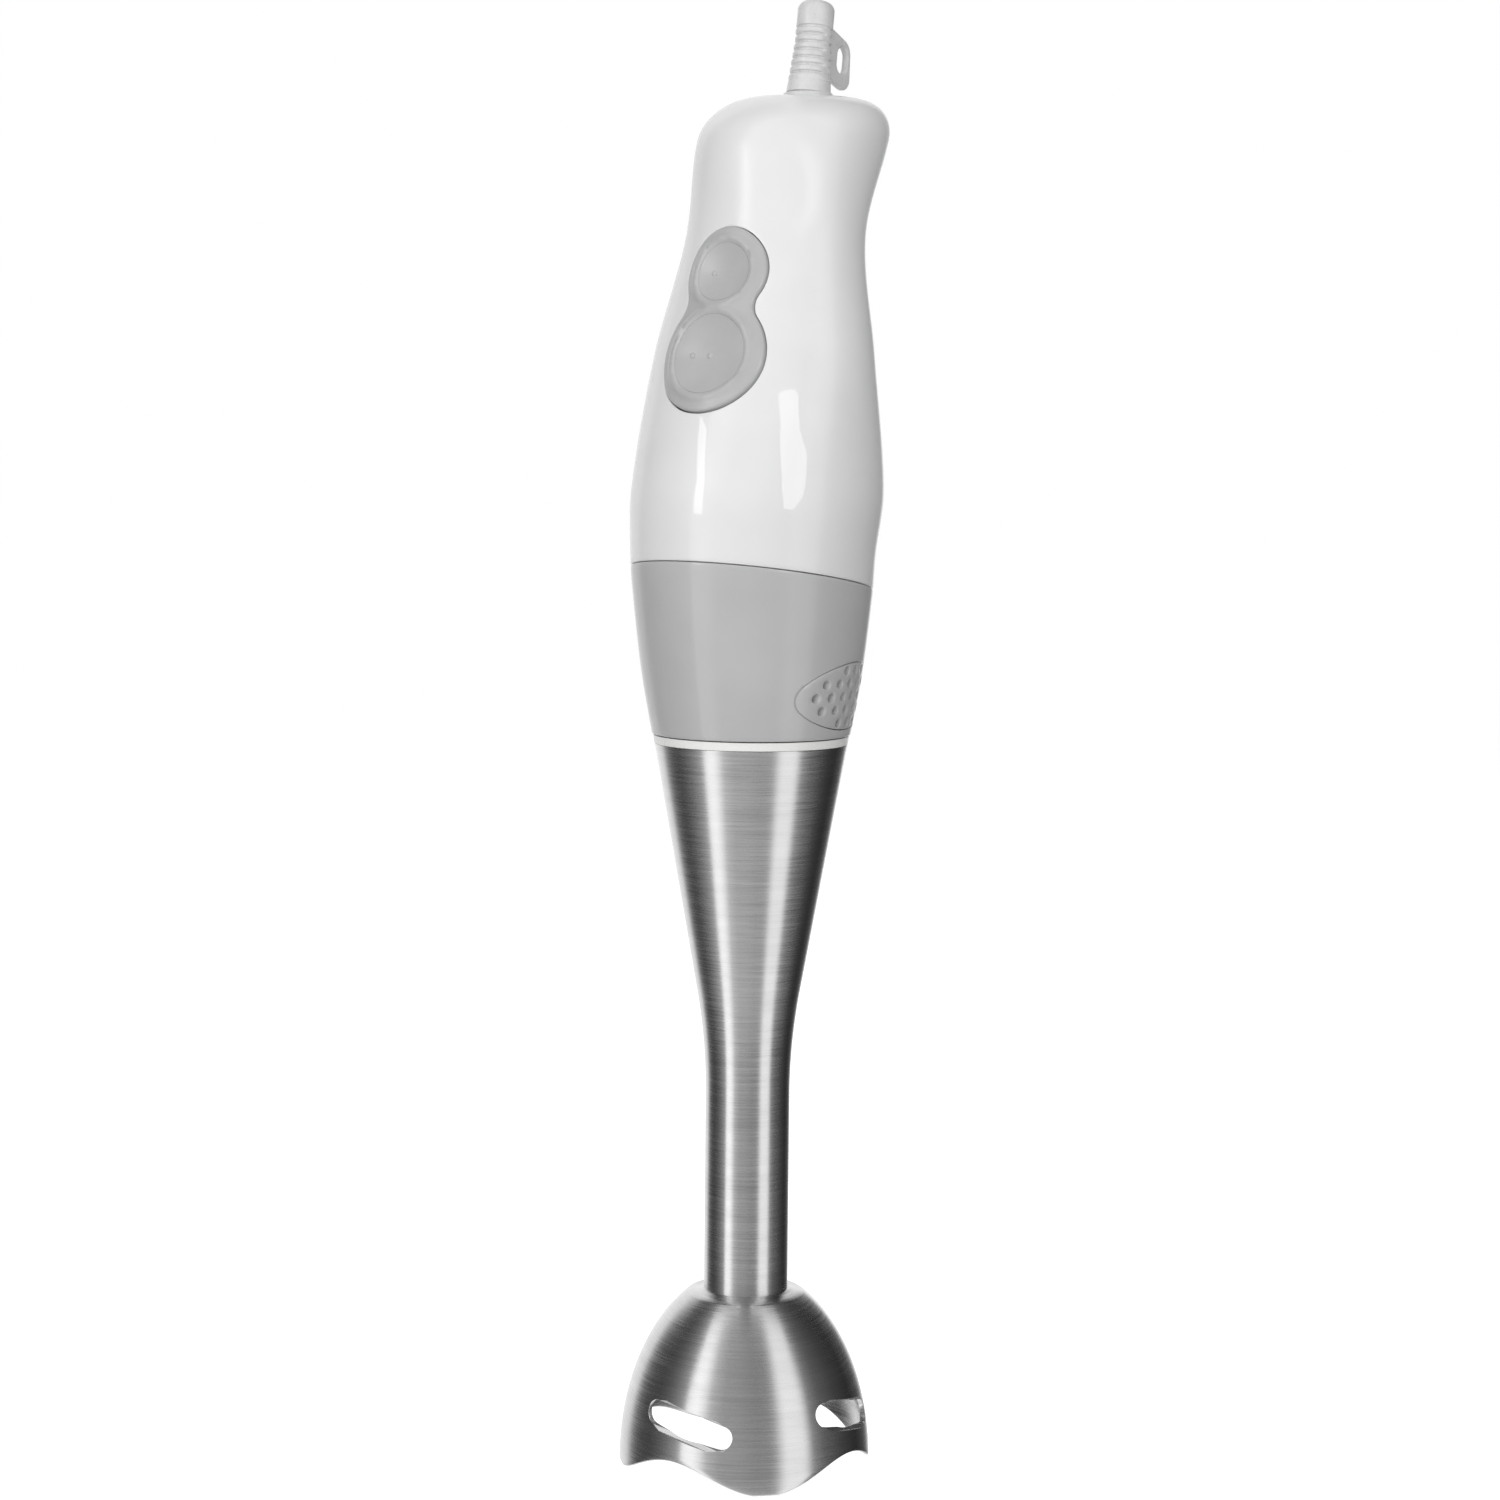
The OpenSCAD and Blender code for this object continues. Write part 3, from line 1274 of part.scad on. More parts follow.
upper_housing();
lower_collar();
left_vent_grille();
right_vent_grille();
button_pad();
low_speed_button();
high_speed_button();
low_speed_plunger();
high_speed_plunger();
low_speed_switch();
high_speed_switch();
switch_board();
suppression_capacitor();
speed_diode();
strain_relief();
cord_clamp();
clamp_screws();
motor_leads();
stator_core();
field_coils();
upper_bracket();
lower_bracket();
upper_bearing();
lower_bearing();
motor_screws();
upper_damper();
lower_damper();
brush_holders();
carbon_brushes();
brush_springs();
motor_shaft();
armature_core();
armature_windings();
commutator();
cooling_fan();
motor_dog();
leg_boss();
boss_screws();
leg_seal();
leg_coupler();
leg_tube();
blade_guard();
bearing_carrier();
upper_bush();
lower_bush();
shaft_seal();
drive_shaft();
shaft_dog();
shaft_clip();
thrust_washer();
blade();
blade_nut();
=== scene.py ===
import math

import bmesh
import bpy
from mathutils import Matrix, Vector
from mathutils.geometry import delaunay_2d_cdt


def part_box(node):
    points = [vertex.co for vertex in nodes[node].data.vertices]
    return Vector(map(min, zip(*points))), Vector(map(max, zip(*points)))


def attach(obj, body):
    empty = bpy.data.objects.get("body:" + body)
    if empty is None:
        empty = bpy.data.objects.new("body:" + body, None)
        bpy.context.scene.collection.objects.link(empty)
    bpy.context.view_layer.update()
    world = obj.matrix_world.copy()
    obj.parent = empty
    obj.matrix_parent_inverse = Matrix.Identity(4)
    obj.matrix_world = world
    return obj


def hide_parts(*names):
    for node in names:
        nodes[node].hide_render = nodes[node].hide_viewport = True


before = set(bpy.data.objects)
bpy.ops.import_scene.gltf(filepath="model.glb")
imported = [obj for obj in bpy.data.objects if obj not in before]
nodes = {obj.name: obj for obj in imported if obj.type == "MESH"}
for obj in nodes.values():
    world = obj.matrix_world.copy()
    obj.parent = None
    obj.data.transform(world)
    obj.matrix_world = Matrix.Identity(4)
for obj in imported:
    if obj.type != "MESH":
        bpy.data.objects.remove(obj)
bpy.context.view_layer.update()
scene = bpy.context.scene
mm = 0.001  # shapes are worked out in millimetres and stored in metres
mergeGap = 0.002 * mm
print("frame loaded with", len(nodes), "nodes")


cameraSetup = {
    "distance": 800,   # from the shaft's axis
    "height": 262,     # over the floor
    "azimuth": 35,     # from the buttons' side, towards +X
    "pitch": 5.33,     # how far it looks down
    "roll": 0.57,
    "aside": -0.25,    # sideways step that centres the blender
    "lens": 74.52,
}


def makeCamera(setup):
    azimuth = math.radians(setup["azimuth"])
    data = bpy.data.cameras.new("camera")
    data.lens = setup["lens"]
    data.sensor_width = 36
    camera = bpy.data.objects.new("camera", data)
    place = Vector((math.sin(azimuth), -math.cos(azimuth), 0)) * setup["distance"]
    place += Vector((math.cos(azimuth), math.sin(azimuth), 0)) * setup["aside"]
    place.z = setup["height"]
    turn = Matrix.Rotation(azimuth, 4, "Z")
    turn = turn @ Matrix.Rotation(math.radians(90 - setup["pitch"]), 4, "X")
    turn = turn @ Matrix.Rotation(math.radians(setup["roll"]), 4, "Z")
    camera.matrix_world = Matrix.Translation(place * mm) @ turn
    scene.collection.objects.link(camera)
    scene.camera = camera


makeCamera(cameraSetup)
print("camera placed")


# adds a node with its settings, its socket values and its links
def addNode(tree, kind, values=None, links=None, **settings):
    node = tree.nodes.new(kind)
    for name, value in settings.items():
        setattr(node, name, value)
    for socket, value in (values or {}).items():
        node.inputs[socket].default_value = value
    for socket, source in (links or {}).items():
        tree.links.new(source, node.inputs[socket])
    return node


# an sRGB hex code as a linear colour
def hexColour(code):
    channels = [int(code[i:i + 2], 16) / 255 for i in (1, 3, 5)]
    return [c / 12.92 if c <= 0.04045 else ((c + 0.055) / 1.055) ** 2.4 for c in channels] + [1]


# a new material, its node tree and the coordinates that its patterns follow
def openMaterial(name):
    material = bpy.data.materials.new(name)
    material.use_nodes = True
    tree = material.node_tree
    tree.nodes.clear()
    place = addNode(tree, "ShaderNodeTexCoord").outputs["Object"]
    return material, tree, place


def closeMaterial(tree, values, links):
    shader = addNode(tree, "ShaderNodeBsdfPrincipled", values, links)
    addNode(tree, "ShaderNodeOutputMaterial", links={"Surface": shader.outputs["BSDF"]})


# soft patches that are about so many millimetres across; stretch gives other sizes along x, y and z
def patches(tree, place, size, detail=2, stretch=(1, 1, 1)):
    scaled = addNode(tree, "ShaderNodeMapping", {"Scale": [1 / (size * mm * s) for s in stretch]},
                     {"Vector": place})
    return addNode(tree, "ShaderNodeTexNoise", {"Scale": 1, "Detail": detail},
                   {"Vector": scaled.outputs["Vector"]}).outputs[0]


# colour that follows broad patches, gloss and relief that follow fine marks,
# and maybe a coarser relief under them
def surfaceLinks(tree, look, broad, fine, under=None):
    share = addNode(tree, "ShaderNodeMapRange", {"From Min": 0.3, "From Max": 0.7}, {"Value": broad})
    colour = addNode(tree, "ShaderNodeMix", {6: hexColour(look["darker"]), 7: hexColour(look["lighter"])},
                     {0: share.outputs["Result"]}, data_type="RGBA")
    gloss = addNode(tree, "ShaderNodeMapRange", {"From Min": 0.3, "From Max": 0.7, "To Min": look["smooth"],
                                                 "To Max": look["rough"]}, {"Value": fine})
    heights = {"Height": fine}
    if under:
        heights["Normal"] = under
    relief = addNode(tree, "ShaderNodeBump", {"Strength": 1, "Distance": look["markDepth"] * mm}, heights)
    return {"Base Color": colour.outputs[2], "Roughness": gloss.outputs["Result"],
            "Normal": relief.outputs["Normal"]}


# Injection-moulded ABS from a polished mould: a deep gloss, and a surface that
# sinks a little over its ribs, so that reflections sway along their edges.
def mouldedAbs(name, look):
    material, tree, place = openMaterial(name)
    sway = addNode(tree, "ShaderNodeBump", {"Strength": 1, "Distance": look["swayDepth"] * mm},
                   {"Height": patches(tree, place, look["swaySize"])})
    links = surfaceLinks(tree, look, patches(tree, place, look["patchSize"]),
                         patches(tree, place, look["markSize"]), sway.outputs["Normal"])
    if "worn" in look:  # the palm rubs the gloss off the crown
        height = addNode(tree, "ShaderNodeSeparateXYZ", links={"Vector": place}).outputs["Z"]
        worn = addNode(tree, "ShaderNodeMapRange", {"From Min": look["wornFrom"] * mm, "To Max": look["worn"],
                                                    "From Max": look["wornTo"] * mm}, {"Value": height})
        total = addNode(tree, "ShaderNodeMath", links={0: links["Roughness"], 1: worn.outputs["Result"]})
        links["Roughness"] = total.outputs["Value"]
    closeMaterial(tree, {"IOR": look["ior"]}, links)
    return material


# Plastic or rubber moulded on a spark-eroded mould: a fine even grain that
# breaks the light into a satin sheen, slightly uneven in colour.
def mouldedSatin(name, look):
    material, tree, place = openMaterial(name)
    closeMaterial(tree, {"IOR": look["ior"], "Sheen Weight": look.get("sheen", 0), "Sheen Roughness": 0.4},
                  surfaceLinks(tree, look, patches(tree, place, look.get("patchSize", 8)),
                               patches(tree, place, look["markSize"], 3)))
    return material


# Stainless steel brushed while it turned on a lathe: hair-fine lines run round
# the axis and draw every light out into a stripe along the part.
def brushedRound(name, look):
    material, tree, place = openMaterial(name)
    around = look["lineLength"] / look["lineWidth"]
    lines = patches(tree, place, look["lineWidth"], 3, (around, around, 1))
    longer = look["bandStretch"]
    bands = patches(tree, place, look["bandWidth"], 2, (longer, longer, 1))
    both = addNode(tree, "ShaderNodeMix", {0: look["bandShare"]}, {2: lines, 3: bands}).outputs[0]
    grip = addNode(tree, "ShaderNodeTangent", direction_type="RADIAL", axis="Z")
    links = surfaceLinks(tree, look, both, lines)
    links["Tangent"] = grip.outputs["Tangent"]
    closeMaterial(tree, {"Metallic": 1, "Anisotropic": look["anisotropic"],
                         "Anisotropic Rotation": look["turned"]}, links)
    return material


# Worked metal: marks of the tool or the rolling mill, as long as they are wide
# where it was cast or plated, and drawn out along one axis where it was ground.
def workedMetal(name, look):
    material, tree, place = openMaterial(name)
    marks = patches(tree, place, look["markSize"], 3, look.get("stretch", (1, 1, 1)))
    closeMaterial(tree, {"Metallic": 1},
                  surfaceLinks(tree, look, patches(tree, place, look.get("patchSize", 5)), marks))
    return material


# Metal in layers or turns of wire: regular ridges and grooves, with half a
# wave of relief and colour to each sheet or turn.
def layeredMetal(name, look):
    material, tree, place = openMaterial(name)
    scale = math.pi / (20 * look["pitch"] * mm)  # the node's waves have 20 radians to a unit
    layers = addNode(tree, "ShaderNodeTexWave", {"Scale": scale, "Distortion": look["uneven"]},
                     {"Vector": place}, wave_type="BANDS", bands_direction=look["across"]).outputs[1]
    closeMaterial(tree, {"Metallic": 1}, surfaceLinks(tree, look, layers, layers))
    return material


fineGrain = {"markSize": 0.5, "markDepth": 0.01}  # left by a spark-eroded mould

finishes = {
    # high gloss, white with hardly any tint, and duller on the crown
    "white_abs": mouldedAbs("white ABS, moulded glossy", {
        "darker": "#EFEFF0", "lighter": "#F3F3F3", "smooth": 0.015, "rough": 0.03, "ior": 1.54,
        "patchSize": 18, "swaySize": 14, "swayDepth": 0.006, "markSize": 1.2, "markDepth": 0.0004,
        "worn": 0.2, "wornFrom": 286, "wornTo": 322}),
    # the same resin with a light grey pigment
    "grey_abs": mouldedAbs("grey ABS, moulded glossy", {
        "darker": "#C2C2C3", "lighter": "#C7C7C7", "smooth": 0.05, "rough": 0.08, "ior": 1.54,
        "patchSize": 18, "swaySize": 14, "swayDepth": 0.008, "markSize": 1.2, "markDepth": 0.0008}),
    # the eye sees no grain, only a soft gleam along its ridges
    "soft_grey": mouldedSatin("grey TPE, moulded satin", {
        "darker": "#BBBBBC", "lighter": "#C1C1C1", "smooth": 0.2, "rough": 0.28, "ior": 1.5,
        "sheen": 0.05, "markSize": 0.35, "markDepth": 0.005}),
    # softer than the housing, and duller
    "white_pvc": mouldedSatin("white PVC, moulded flexible", {
        "darker": "#DADADB", "lighter": "#E3E3E3", "smooth": 0.25, "rough": 0.36, "ior": 1.53,
        "patchSize": 3, "markSize": 0.6, "markDepth": 0.006}),
    # milky, with the flow of the melt in it
    "white_nylon": mouldedSatin("natural nylon, moulded", {
        "darker": "#FAFAF8", "lighter": "#FFFFFD", "smooth": 0.2, "rough": 0.3, "ior": 1.53, **fineGrain}),
    # dull black that greys where light grazes it
    "black_nylon": mouldedSatin("black nylon, moulded", {
        "darker": "#1B1B1C", "lighter": "#242425", "smooth": 0.35, "rough": 0.5, "ior": 1.53, **fineGrain}),
    # brown paper laminate under a thin lacquer
    "circuit_board": mouldedSatin("phenolic paper, pressed", {
        "darker": "#9A7440", "lighter": "#A9834C", "smooth": 0.35, "rough": 0.5, "ior": 1.55,
        "markSize": 1.5, "markDepth": 0.01}),
    # mustard yellow with a broad gloss
    "film_case": mouldedSatin("polyester case, filled with resin", {
        "darker": "#C9A62C", "lighter": "#D4B23A", "smooth": 0.14, "rough": 0.22, "ior": 1.56, **fineGrain}),
    # smooth, with small clear highlights
    "glass_black": mouldedSatin("black epoxy, moulded", {
        "darker": "#1A1A1B", "lighter": "#222223", "smooth": 0.15, "rough": 0.25, "ior": 1.55, **fineGrain}),
    # bright zinc with a faint cloud
    "zinc_steel": workedMetal("steel, zinc plated", {
        "darker": "#C4C6C8", "lighter": "#D6D7D6", "smooth": 0.24, "rough": 0.36,
        "markSize": 0.4, "markDepth": 0.006}),
    # soft gleam along the lead
    "lead_blue": mouldedSatin("blue PVC, extruded on the lead", {
        "darker": "#3A5A9A", "lighter": "#4466A6", "smooth": 0.34, "rough": 0.46, "ior": 1.53, **fineGrain}),
    # edges of half-millimetre sheets under varnish, drawn at one millimetre so that they show
    "lamination": layeredMetal("electrical steel, stamped and stacked", {
        "darker": "#83858A", "lighter": "#A4A6AA", "smooth": 0.38, "rough": 0.5,
        "pitch": 1, "across": "Z", "uneven": 0, "markDepth": 0.05}),
    # turns of 0.5 mm wire under clear enamel, drawn at 0.8 mm
    "copper": layeredMetal("copper, enamelled wire wound", {
        "darker": "#9C4F2B", "lighter": "#D98A57", "smooth": 0.22, "rough": 0.34,
        "pitch": 0.8, "across": "X", "uneven": 0.6, "markDepth": 0.12}),
    # flat grey with the cloudy spangle of the dip
    "zinc_bracket": workedMetal("galvanised steel, pressed", {
        "darker": "#B9BBBD", "lighter": "#D0D1D2", "smooth": 0.34, "rough": 0.5,
        "markSize": 3, "patchSize": 4, "markDepth": 0.01}),
    # pores of the sintered powder
    "bronze": workedMetal("bronze, sintered", {
        "darker": "#A9805A", "lighter": "#BF9468", "smooth": 0.4, "rough": 0.55,
        "markSize": 0.5, "markDepth": 0.02}),
    # dull and deep black
    "black_rubber": mouldedSatin("nitrile rubber, moulded", {
        "darker": "#1D1D1D", "lighter": "#262626", "smooth": 0.55, "rough": 0.7, "ior": 1.52, **fineGrain}),
    # warm yellow, with fine lines from the die
    "brass": workedMetal("brass, drawn", {
        "darker": "#C9A65B", "lighter": "#DDBC72", "smooth": 0.24, "rough": 0.36,
        "markSize": 0.5, "stretch": (12, 12, 1), "markDepth": 0.006}),
    # dark grey with a dusty gleam
    "carbon": mouldedSatin("carbon, pressed", {
        "darker": "#202022", "lighter": "#2C2C2F", "smooth": 0.45, "rough": 0.6, "ior": 1.6, **fineGrain}),
    # fine rings from the grinding wheel
    "shaft_steel": workedMetal("bar steel, ground", {
        "darker": "#BCBDBF", "lighter": "#D2D3D4", "smooth": 0.16, "rough": 0.28,
        "markSize": 0.4, "stretch": (20, 20, 1), "markDepth": 0.003}),
    # lines a few hundredths wide, drawn at 0.35 mm so that they show
    "brushed_stainless": brushedRound("stainless steel, brushed round the axis", {
        "darker": "#CBCBCB", "lighter": "#E4E4E4", "smooth": 0.18, "rough": 0.32, "anisotropic": 1,
        "turned": 0.25, "lineWidth": 0.35, "lineLength": 18, "markDepth": 0.0014, "bandWidth": 2.2,
        "bandStretch": 8, "bandShare": 0.35}),
    # ground along the wings
    "blade_steel": workedMetal("stainless steel, ground", {
        "darker": "#BFC0C2", "lighter": "#DADBDC", "smooth": 0.16, "rough": 0.28,
        "markSize": 0.35, "stretch": (24, 1, 1), "markDepth": 0.004}),
}
print(len(finishes), "finishes mixed")


def makePiece(name, points, faces):
    mesh = bpy.data.meshes.new(name)
    mesh.from_pydata([Vector(point) * mm for point in points], [], faces)
    shape = bmesh.new()
    shape.from_mesh(mesh)
    bmesh.ops.recalc_face_normals(shape, faces=shape.faces)
    shape.to_mesh(mesh)
    shape.free()
    piece = bpy.data.objects.new(name, mesh)
    scene.collection.objects.link(piece)
    return piece


# a closed body over rings of points that all have as many points each;
# the last ring meets the first one, or both ends close round their middles
def loft(name, rings, joined=False):
    count = len(rings[0])
    points = [Vector(point) for ring in rings for point in ring]
    faces = []
    for row in range(len(rings) if joined else len(rings) - 1):
        low = row * count
        high = (row + 1) % len(rings) * count
        for i in range(count):
            k = (i + 1) % count
            faces.append((low + i, low + k, high + k, high + i))
    if not joined:
        for start in (0, (len(rings) - 1) * count):
            middle = sum((points[start + i] for i in range(count)), Vector()) / count
            points.append(middle)
            faces += [(start + i, start + (i + 1) % count, len(points) - 1) for i in range(count)]
    return makePiece(name, points, faces)


# cuts a tool out of a piece, or joins it on
def carve(piece, tool, operation="DIFFERENCE"):
    change = piece.modifiers.new("carve", "BOOLEAN")
    change.operation = operation
    change.solver = "MANIFOLD"
    change.object = tool
    carved = bpy.data.meshes.new_from_object(piece.evaluated_get(bpy.context.evaluated_depsgraph_get()))
    piece.modifiers.clear()
    piece.data = carved
    bpy.data.objects.remove(tool)


# merges the points that cutting leaves on top of each other and drops faces folded flat on each other
def cleanMesh(mesh):
    shape = bmesh.new()
    shape.from_mesh(mesh)
    bmesh.ops.remove_doubles(shape, verts=shape.verts, dist=mergeGap)
    bmesh.ops.dissolve_degenerate(shape, edges=shape.edges, dist=mergeGap / 2)
    bmesh.ops.triangulate(shape, faces=[face for face in shape.faces if len(face.verts) > 4])
    alike = {}
    for face in shape.faces:
        alike.setdefault(frozenset(face.verts), []).append(face)
    folded = [face for faces in alike.values() if len(faces) > 1 for face in faces]
    bmesh.ops.delete(shape, geom=folded, context="FACES")
    shape.to_mesh(mesh)
    shape.free()


# gives a piece smooth shading with crisp edges, its finish and the body that
# carries it, and hides the CAD node that it stands for
def finishPiece(piece, slot, body, node, crease=32):
    cleanMesh(piece.data)
    piece.data.shade_smooth()
    piece.data.set_sharp_from_angle(angle=math.radians(crease))
    piece.data.materials.clear()
    piece.data.materials.append(finishes[slot])
    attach(piece, body)
    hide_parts(node)


# even angles round a full turn
def turnsOf(count):
    return [math.tau * i / count for i in range(count)]


def circle(radius, count, z=0, middle=(0, 0)):
    return [(middle[0] + radius * math.cos(turn), middle[1] + radius * math.sin(turn), z)
            for turn in turnsOf(count)]


# rise and inset along a rounded edge, from the end face round to the side
def roundedEdge(edge, steps):
    turns = [math.pi / 2 * k / steps for k in range(steps + 1)]
    return [(edge * (1 - math.cos(turn)), edge * (1 - math.sin(turn))) for turn in turns]


# tool that cuts a mouth with a soft lip: straight from deep inside up to the
# face, then wider at each depth and growth of the lip, and on past the face
def mouthTool(name, outline, toSpace, face, lip, depths):
    rings = [[toSpace(x, y, depths[0]) for x, y in outline(0)]]
    for depth, grow in lip:
        rings.append([toSpace(x, y, face(x, y) + depth) for x, y in outline(grow)])
    rings.append([toSpace(x, y, depths[1]) for x, y in outline(lip[-1][1])])
    return loft(name, rings)


def within(x, y, outline):
    inside = False
    for a, b in zip(outline, outline[1:] + outline[:1]):
        if (a[1] > y) != (b[1] > y) and x < a[0] + (y - a[1]) * (b[0] - a[0]) / (b[1] - a[1]):
            inside = not inside
    return inside


# a plate that follows a curved face: rings of points with their drop below the
# face, even triangles between them, the same again underneath, and side walls
def platePiece(name, rings, kept, roomy, span, step, toSpace, top, bottom):
    flat = []
    drops = []
    edges = []
    for ring, drop in rings:
        start = len(flat)
        flat += [Vector(point[:2]) for point in ring]
        drops += [drop] * len(ring)
        edges += [(start + i, start + (i + 1) % len(ring)) for i in range(len(ring))]
    rowStep = 0.866 * step
    for row in range(int(2 * span[1] / rowStep) + 1):
        y = -span[1] + row * rowStep
        for col in range(int(2 * span[0] / step) + 1):
            x = -span[0] + (col + 0.5 * (row % 2)) * step
            if roomy(x, y):
                flat.append(Vector((x, y)))
                drops.append(0)
    placed, _, triangles, origins, _, _ = delaunay_2d_cdt(flat, edges, [], 0, 1e-6)
    fall = [drops[origin[0]] if origin else 0 for origin in origins]
    chosen = []
    for triangle in triangles:
        middle = sum((placed[i] for i in triangle), Vector((0, 0))) / 3
        if kept(middle.x, middle.y):
            chosen.append(tuple(triangle))
    sides = {}
    for triangle in chosen:
        for a, b in zip(triangle, triangle[1:] + triangle[:1]):
            sides[(a, b)] = sides.get((b, a)) is None
            if (b, a) in sides:
                sides[(b, a)] = False
    count = len(placed)
    points = [toSpace(p.x, p.y, top(p.x, p.y) - drop) for p, drop in zip(placed, fall)]
    points += [toSpace(p.x, p.y, bottom(p.x, p.y)) for p in placed]
    faces = chosen + [tuple(i + count for i in reversed(triangle)) for triangle in chosen]
    faces += [(a, a + count, b + count, b) for (a, b), alone in sides.items() if alone]
    used = sorted({i for face in faces for i in face})
    order = {old: new for new, old in enumerate(used)}
    return makePiece(name, [points[i] for i in used], [tuple(order[i] for i in face) for face in faces])


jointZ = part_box("lower_collar")[0].z / mm  # joint between the motor unit and the leg

handleShape = {
    # height over the joint, lean to the back, half width and half depth of each section
    "sections": {
        "joint": (0, 0, 25.7, 25.7),
        "swell": (16.12, 0, 28.5615, 28.5615),
        "underSeam": (36.673, 0, 30.951, 30.951),
        "overSeam": (46.3, 0, 31.6, 31.6),
        "belly": (63.3, 1.8, 32.5, 32.5),
        "palm": (97.3, 4, 30, 24.5),
        "waist": (127.3, 8.6, 24.4, 20.2),
        "crown": (150.3, 15.39, 24.6, 24.6),
        "top": (164.3, 21.69, 24.6, 24.6),
    },
    "height": 163.3,
    "seamHeight": 40.3,
    "seamTilt": 8.9,
    "seamGap": 0.22,
    "edgeRound": 0.35,   # rounding on both sides of the seam
    "topRound": 11,
    "roundTurn": 85,     # where the rounding gives way to the crowned top, in degrees
    "topCrown": 0.64,
    "wall": 2.4,
    "columns": 200,
    "rows": 96,
    "roundRows": 18,
    "crownRows": 10,
}
sections = list(handleShape["sections"].values())
seamSlope = math.tan(math.radians(handleShape["seamTilt"]))
handleTop = jointZ + handleShape["height"]


# lean, half width and half depth of the handle at a height over the floor
def handleAt(z):
    rise = z - jointZ
    last = len(sections) - 1
    i = 0
    while i < last - 1 and rise >= sections[i + 1][0]:
        i += 1
    low = sections[i]
    high = sections[i + 1]
    span = high[0] - low[0]
    t = (rise - low[0]) / span
    before = sections[max(i - 1, 0)]
    after = sections[min(i + 2, last)]
    values = []
    for k in (1, 2, 3):
        slopeLow = (high[k] - before[k]) / (high[0] - before[0])
        slopeHigh = (after[k] - low[k]) / (after[0] - low[0])
        values.append(low[k] * (2 * t**3 - 3 * t**2 + 1) + slopeLow * span * (t**3 - 2 * t**2 + t)
                      + high[k] * (3 * t**2 - 2 * t**3) + slopeHigh * span * (t**3 - t**2))
    return values


# a point of the handle's skin; the angle runs from the front towards +X
def skinPoint(angle, z, grow=0):
    lean, halfWidth, halfDepth = handleAt(z)
    return ((halfWidth + grow) * math.sin(angle), lean - (halfDepth + grow) * math.cos(angle), z)


# height of the slanted seam at an angle
def seamAt(angle, grow=0):
    z = jointZ + handleShape["seamHeight"]
    for _ in range(6):
        z = jointZ + handleShape["seamHeight"] - seamSlope * skinPoint(angle, z, grow)[1]
    return z


# the handle grown by so much, from below the seam to the top
def handleBody(name, grow, below, edge, columns, rows):
    angles = turnsOf(columns)
    sideTop = handleTop - handleShape["topRound"]
    topRound = handleShape["topRound"] + grow
    seam = [seamAt(angle, grow) - below for angle in angles]
    rings = []
    if edge:
        for rise, inset in roundedEdge(edge, 3):
            rings.append([skinPoint(a, z + rise, grow - inset) for a, z in zip(angles, seam)])
    for j in range(1 if edge else 0, rows + 1):
        rings.append([skinPoint(a, z + edge + (sideTop - z - edge) * j / rows, grow)
                      for a, z in zip(angles, seam)])
    for j in range(1, handleShape["roundRows"] + 1):
        turn = math.radians(handleShape["roundTurn"] * j / handleShape["roundRows"])
        level = sideTop + topRound * math.sin(turn)
        inset = topRound * math.cos(turn) - handleShape["topRound"]
        rings.append([skinPoint(a, level, inset) for a in angles])
    reach = handleAt(level)[1] + inset
    for j in range(1, handleShape["crownRows"]):
        share = 1 - j / handleShape["crownRows"]
        lift = handleShape["topCrown"] * (1 - share**2)
        rings.append([skinPoint(a, level + lift, inset - reach * (1 - share)) for a in angles])
    return loft(name, rings)


padShape = {
    "upperRadius": 11.9,
    "lowerRadius": 15.2,
    "fillet": 6,
    "upperHeight": 117.3,   # over the joint
    "lowerHeight": 96.7,
    "upperButton": 7.6,
    "lowerButton": 10.4,
    "proud": 0.7,
    "gap": 0.24,            # between pad and housing
    "gapShift": (0.12, -0.14),  # the pad sits a little up and to the left in its hole
    "mouthLip": [(-0.35, 0), (-0.16, 0.04), (-0.05, 0.12), (0.03, 0.28), (0.6, 1)],
    "mouthDepths": (-14, 8),
    # inset and drop of the pad's rounded edge, and growth and drop of the edge round a button
    "edge": [(0, 0.75), (0.08, 0.42), (0.26, 0.16), (0.55, 0.03), (0.95, 0)],
    "holeEdge": [(0, 0.05), (0.05, 0.01), (0.2, 0), (0.5, 0)],
    "buttonGap": 0.04,      # between pad and buttons
    "ridge": 0.7,           # height of the ridge round each dish
    "ridgeAt": 1.3,         # its distance outside the dish
    "ridgeWidth": 0.85,
    "upperDish": 1.5,       # depths of the dishes
    "lowerDish": 2,
    "dishPower": 1.15,      # above 1 the dish's rim is softer
    "buttonEdge": 0.06,
    "flangeDepth": 6,       # flange that keeps a button in, under the skin
    "flangeThick": 1.2,
    "flangeWide": 1.2,
    "stubRadius": 2.2,      # stub that presses the switch's plunger
    "stubDepth": 8,
    "upperBeads": [-3.2],   # places of the beads that tell the speeds apart, across the dish
    "lowerBeads": [-5.4, -0.2],
    "beadRadius": 0.8,
    "beadHeight": 0.3,
    "thick": 3.7,
    "step": 0.75,           # spacing of the mesh
    "span": (16, 28),       # half the width and half the height that the mesh fills
    "clear": (1.5, 1),      # no mesh points this near the outline or the buttons
    "outlineSteps": 26,
    "columns": 120,
    "dishRows": 22,
    "beadColumns": 24,
    "beadTurns": [-50, 0, 25, 45, 62, 78],  # from below its equator to its top, in degrees
}
upperZ = jointZ + padShape["upperHeight"]
lowerZ = jointZ + padShape["lowerHeight"]
frontY = {z: handleAt(z)[0] - handleAt(z)[2] for z in (upperZ, lowerZ)}
padTilt = math.atan((frontY[upperZ] - frontY[lowerZ]) / (upperZ - lowerZ))
padY = (frontY[upperZ] + frontY[lowerZ]) / 2
padZ = (upperZ + lowerZ) / 2
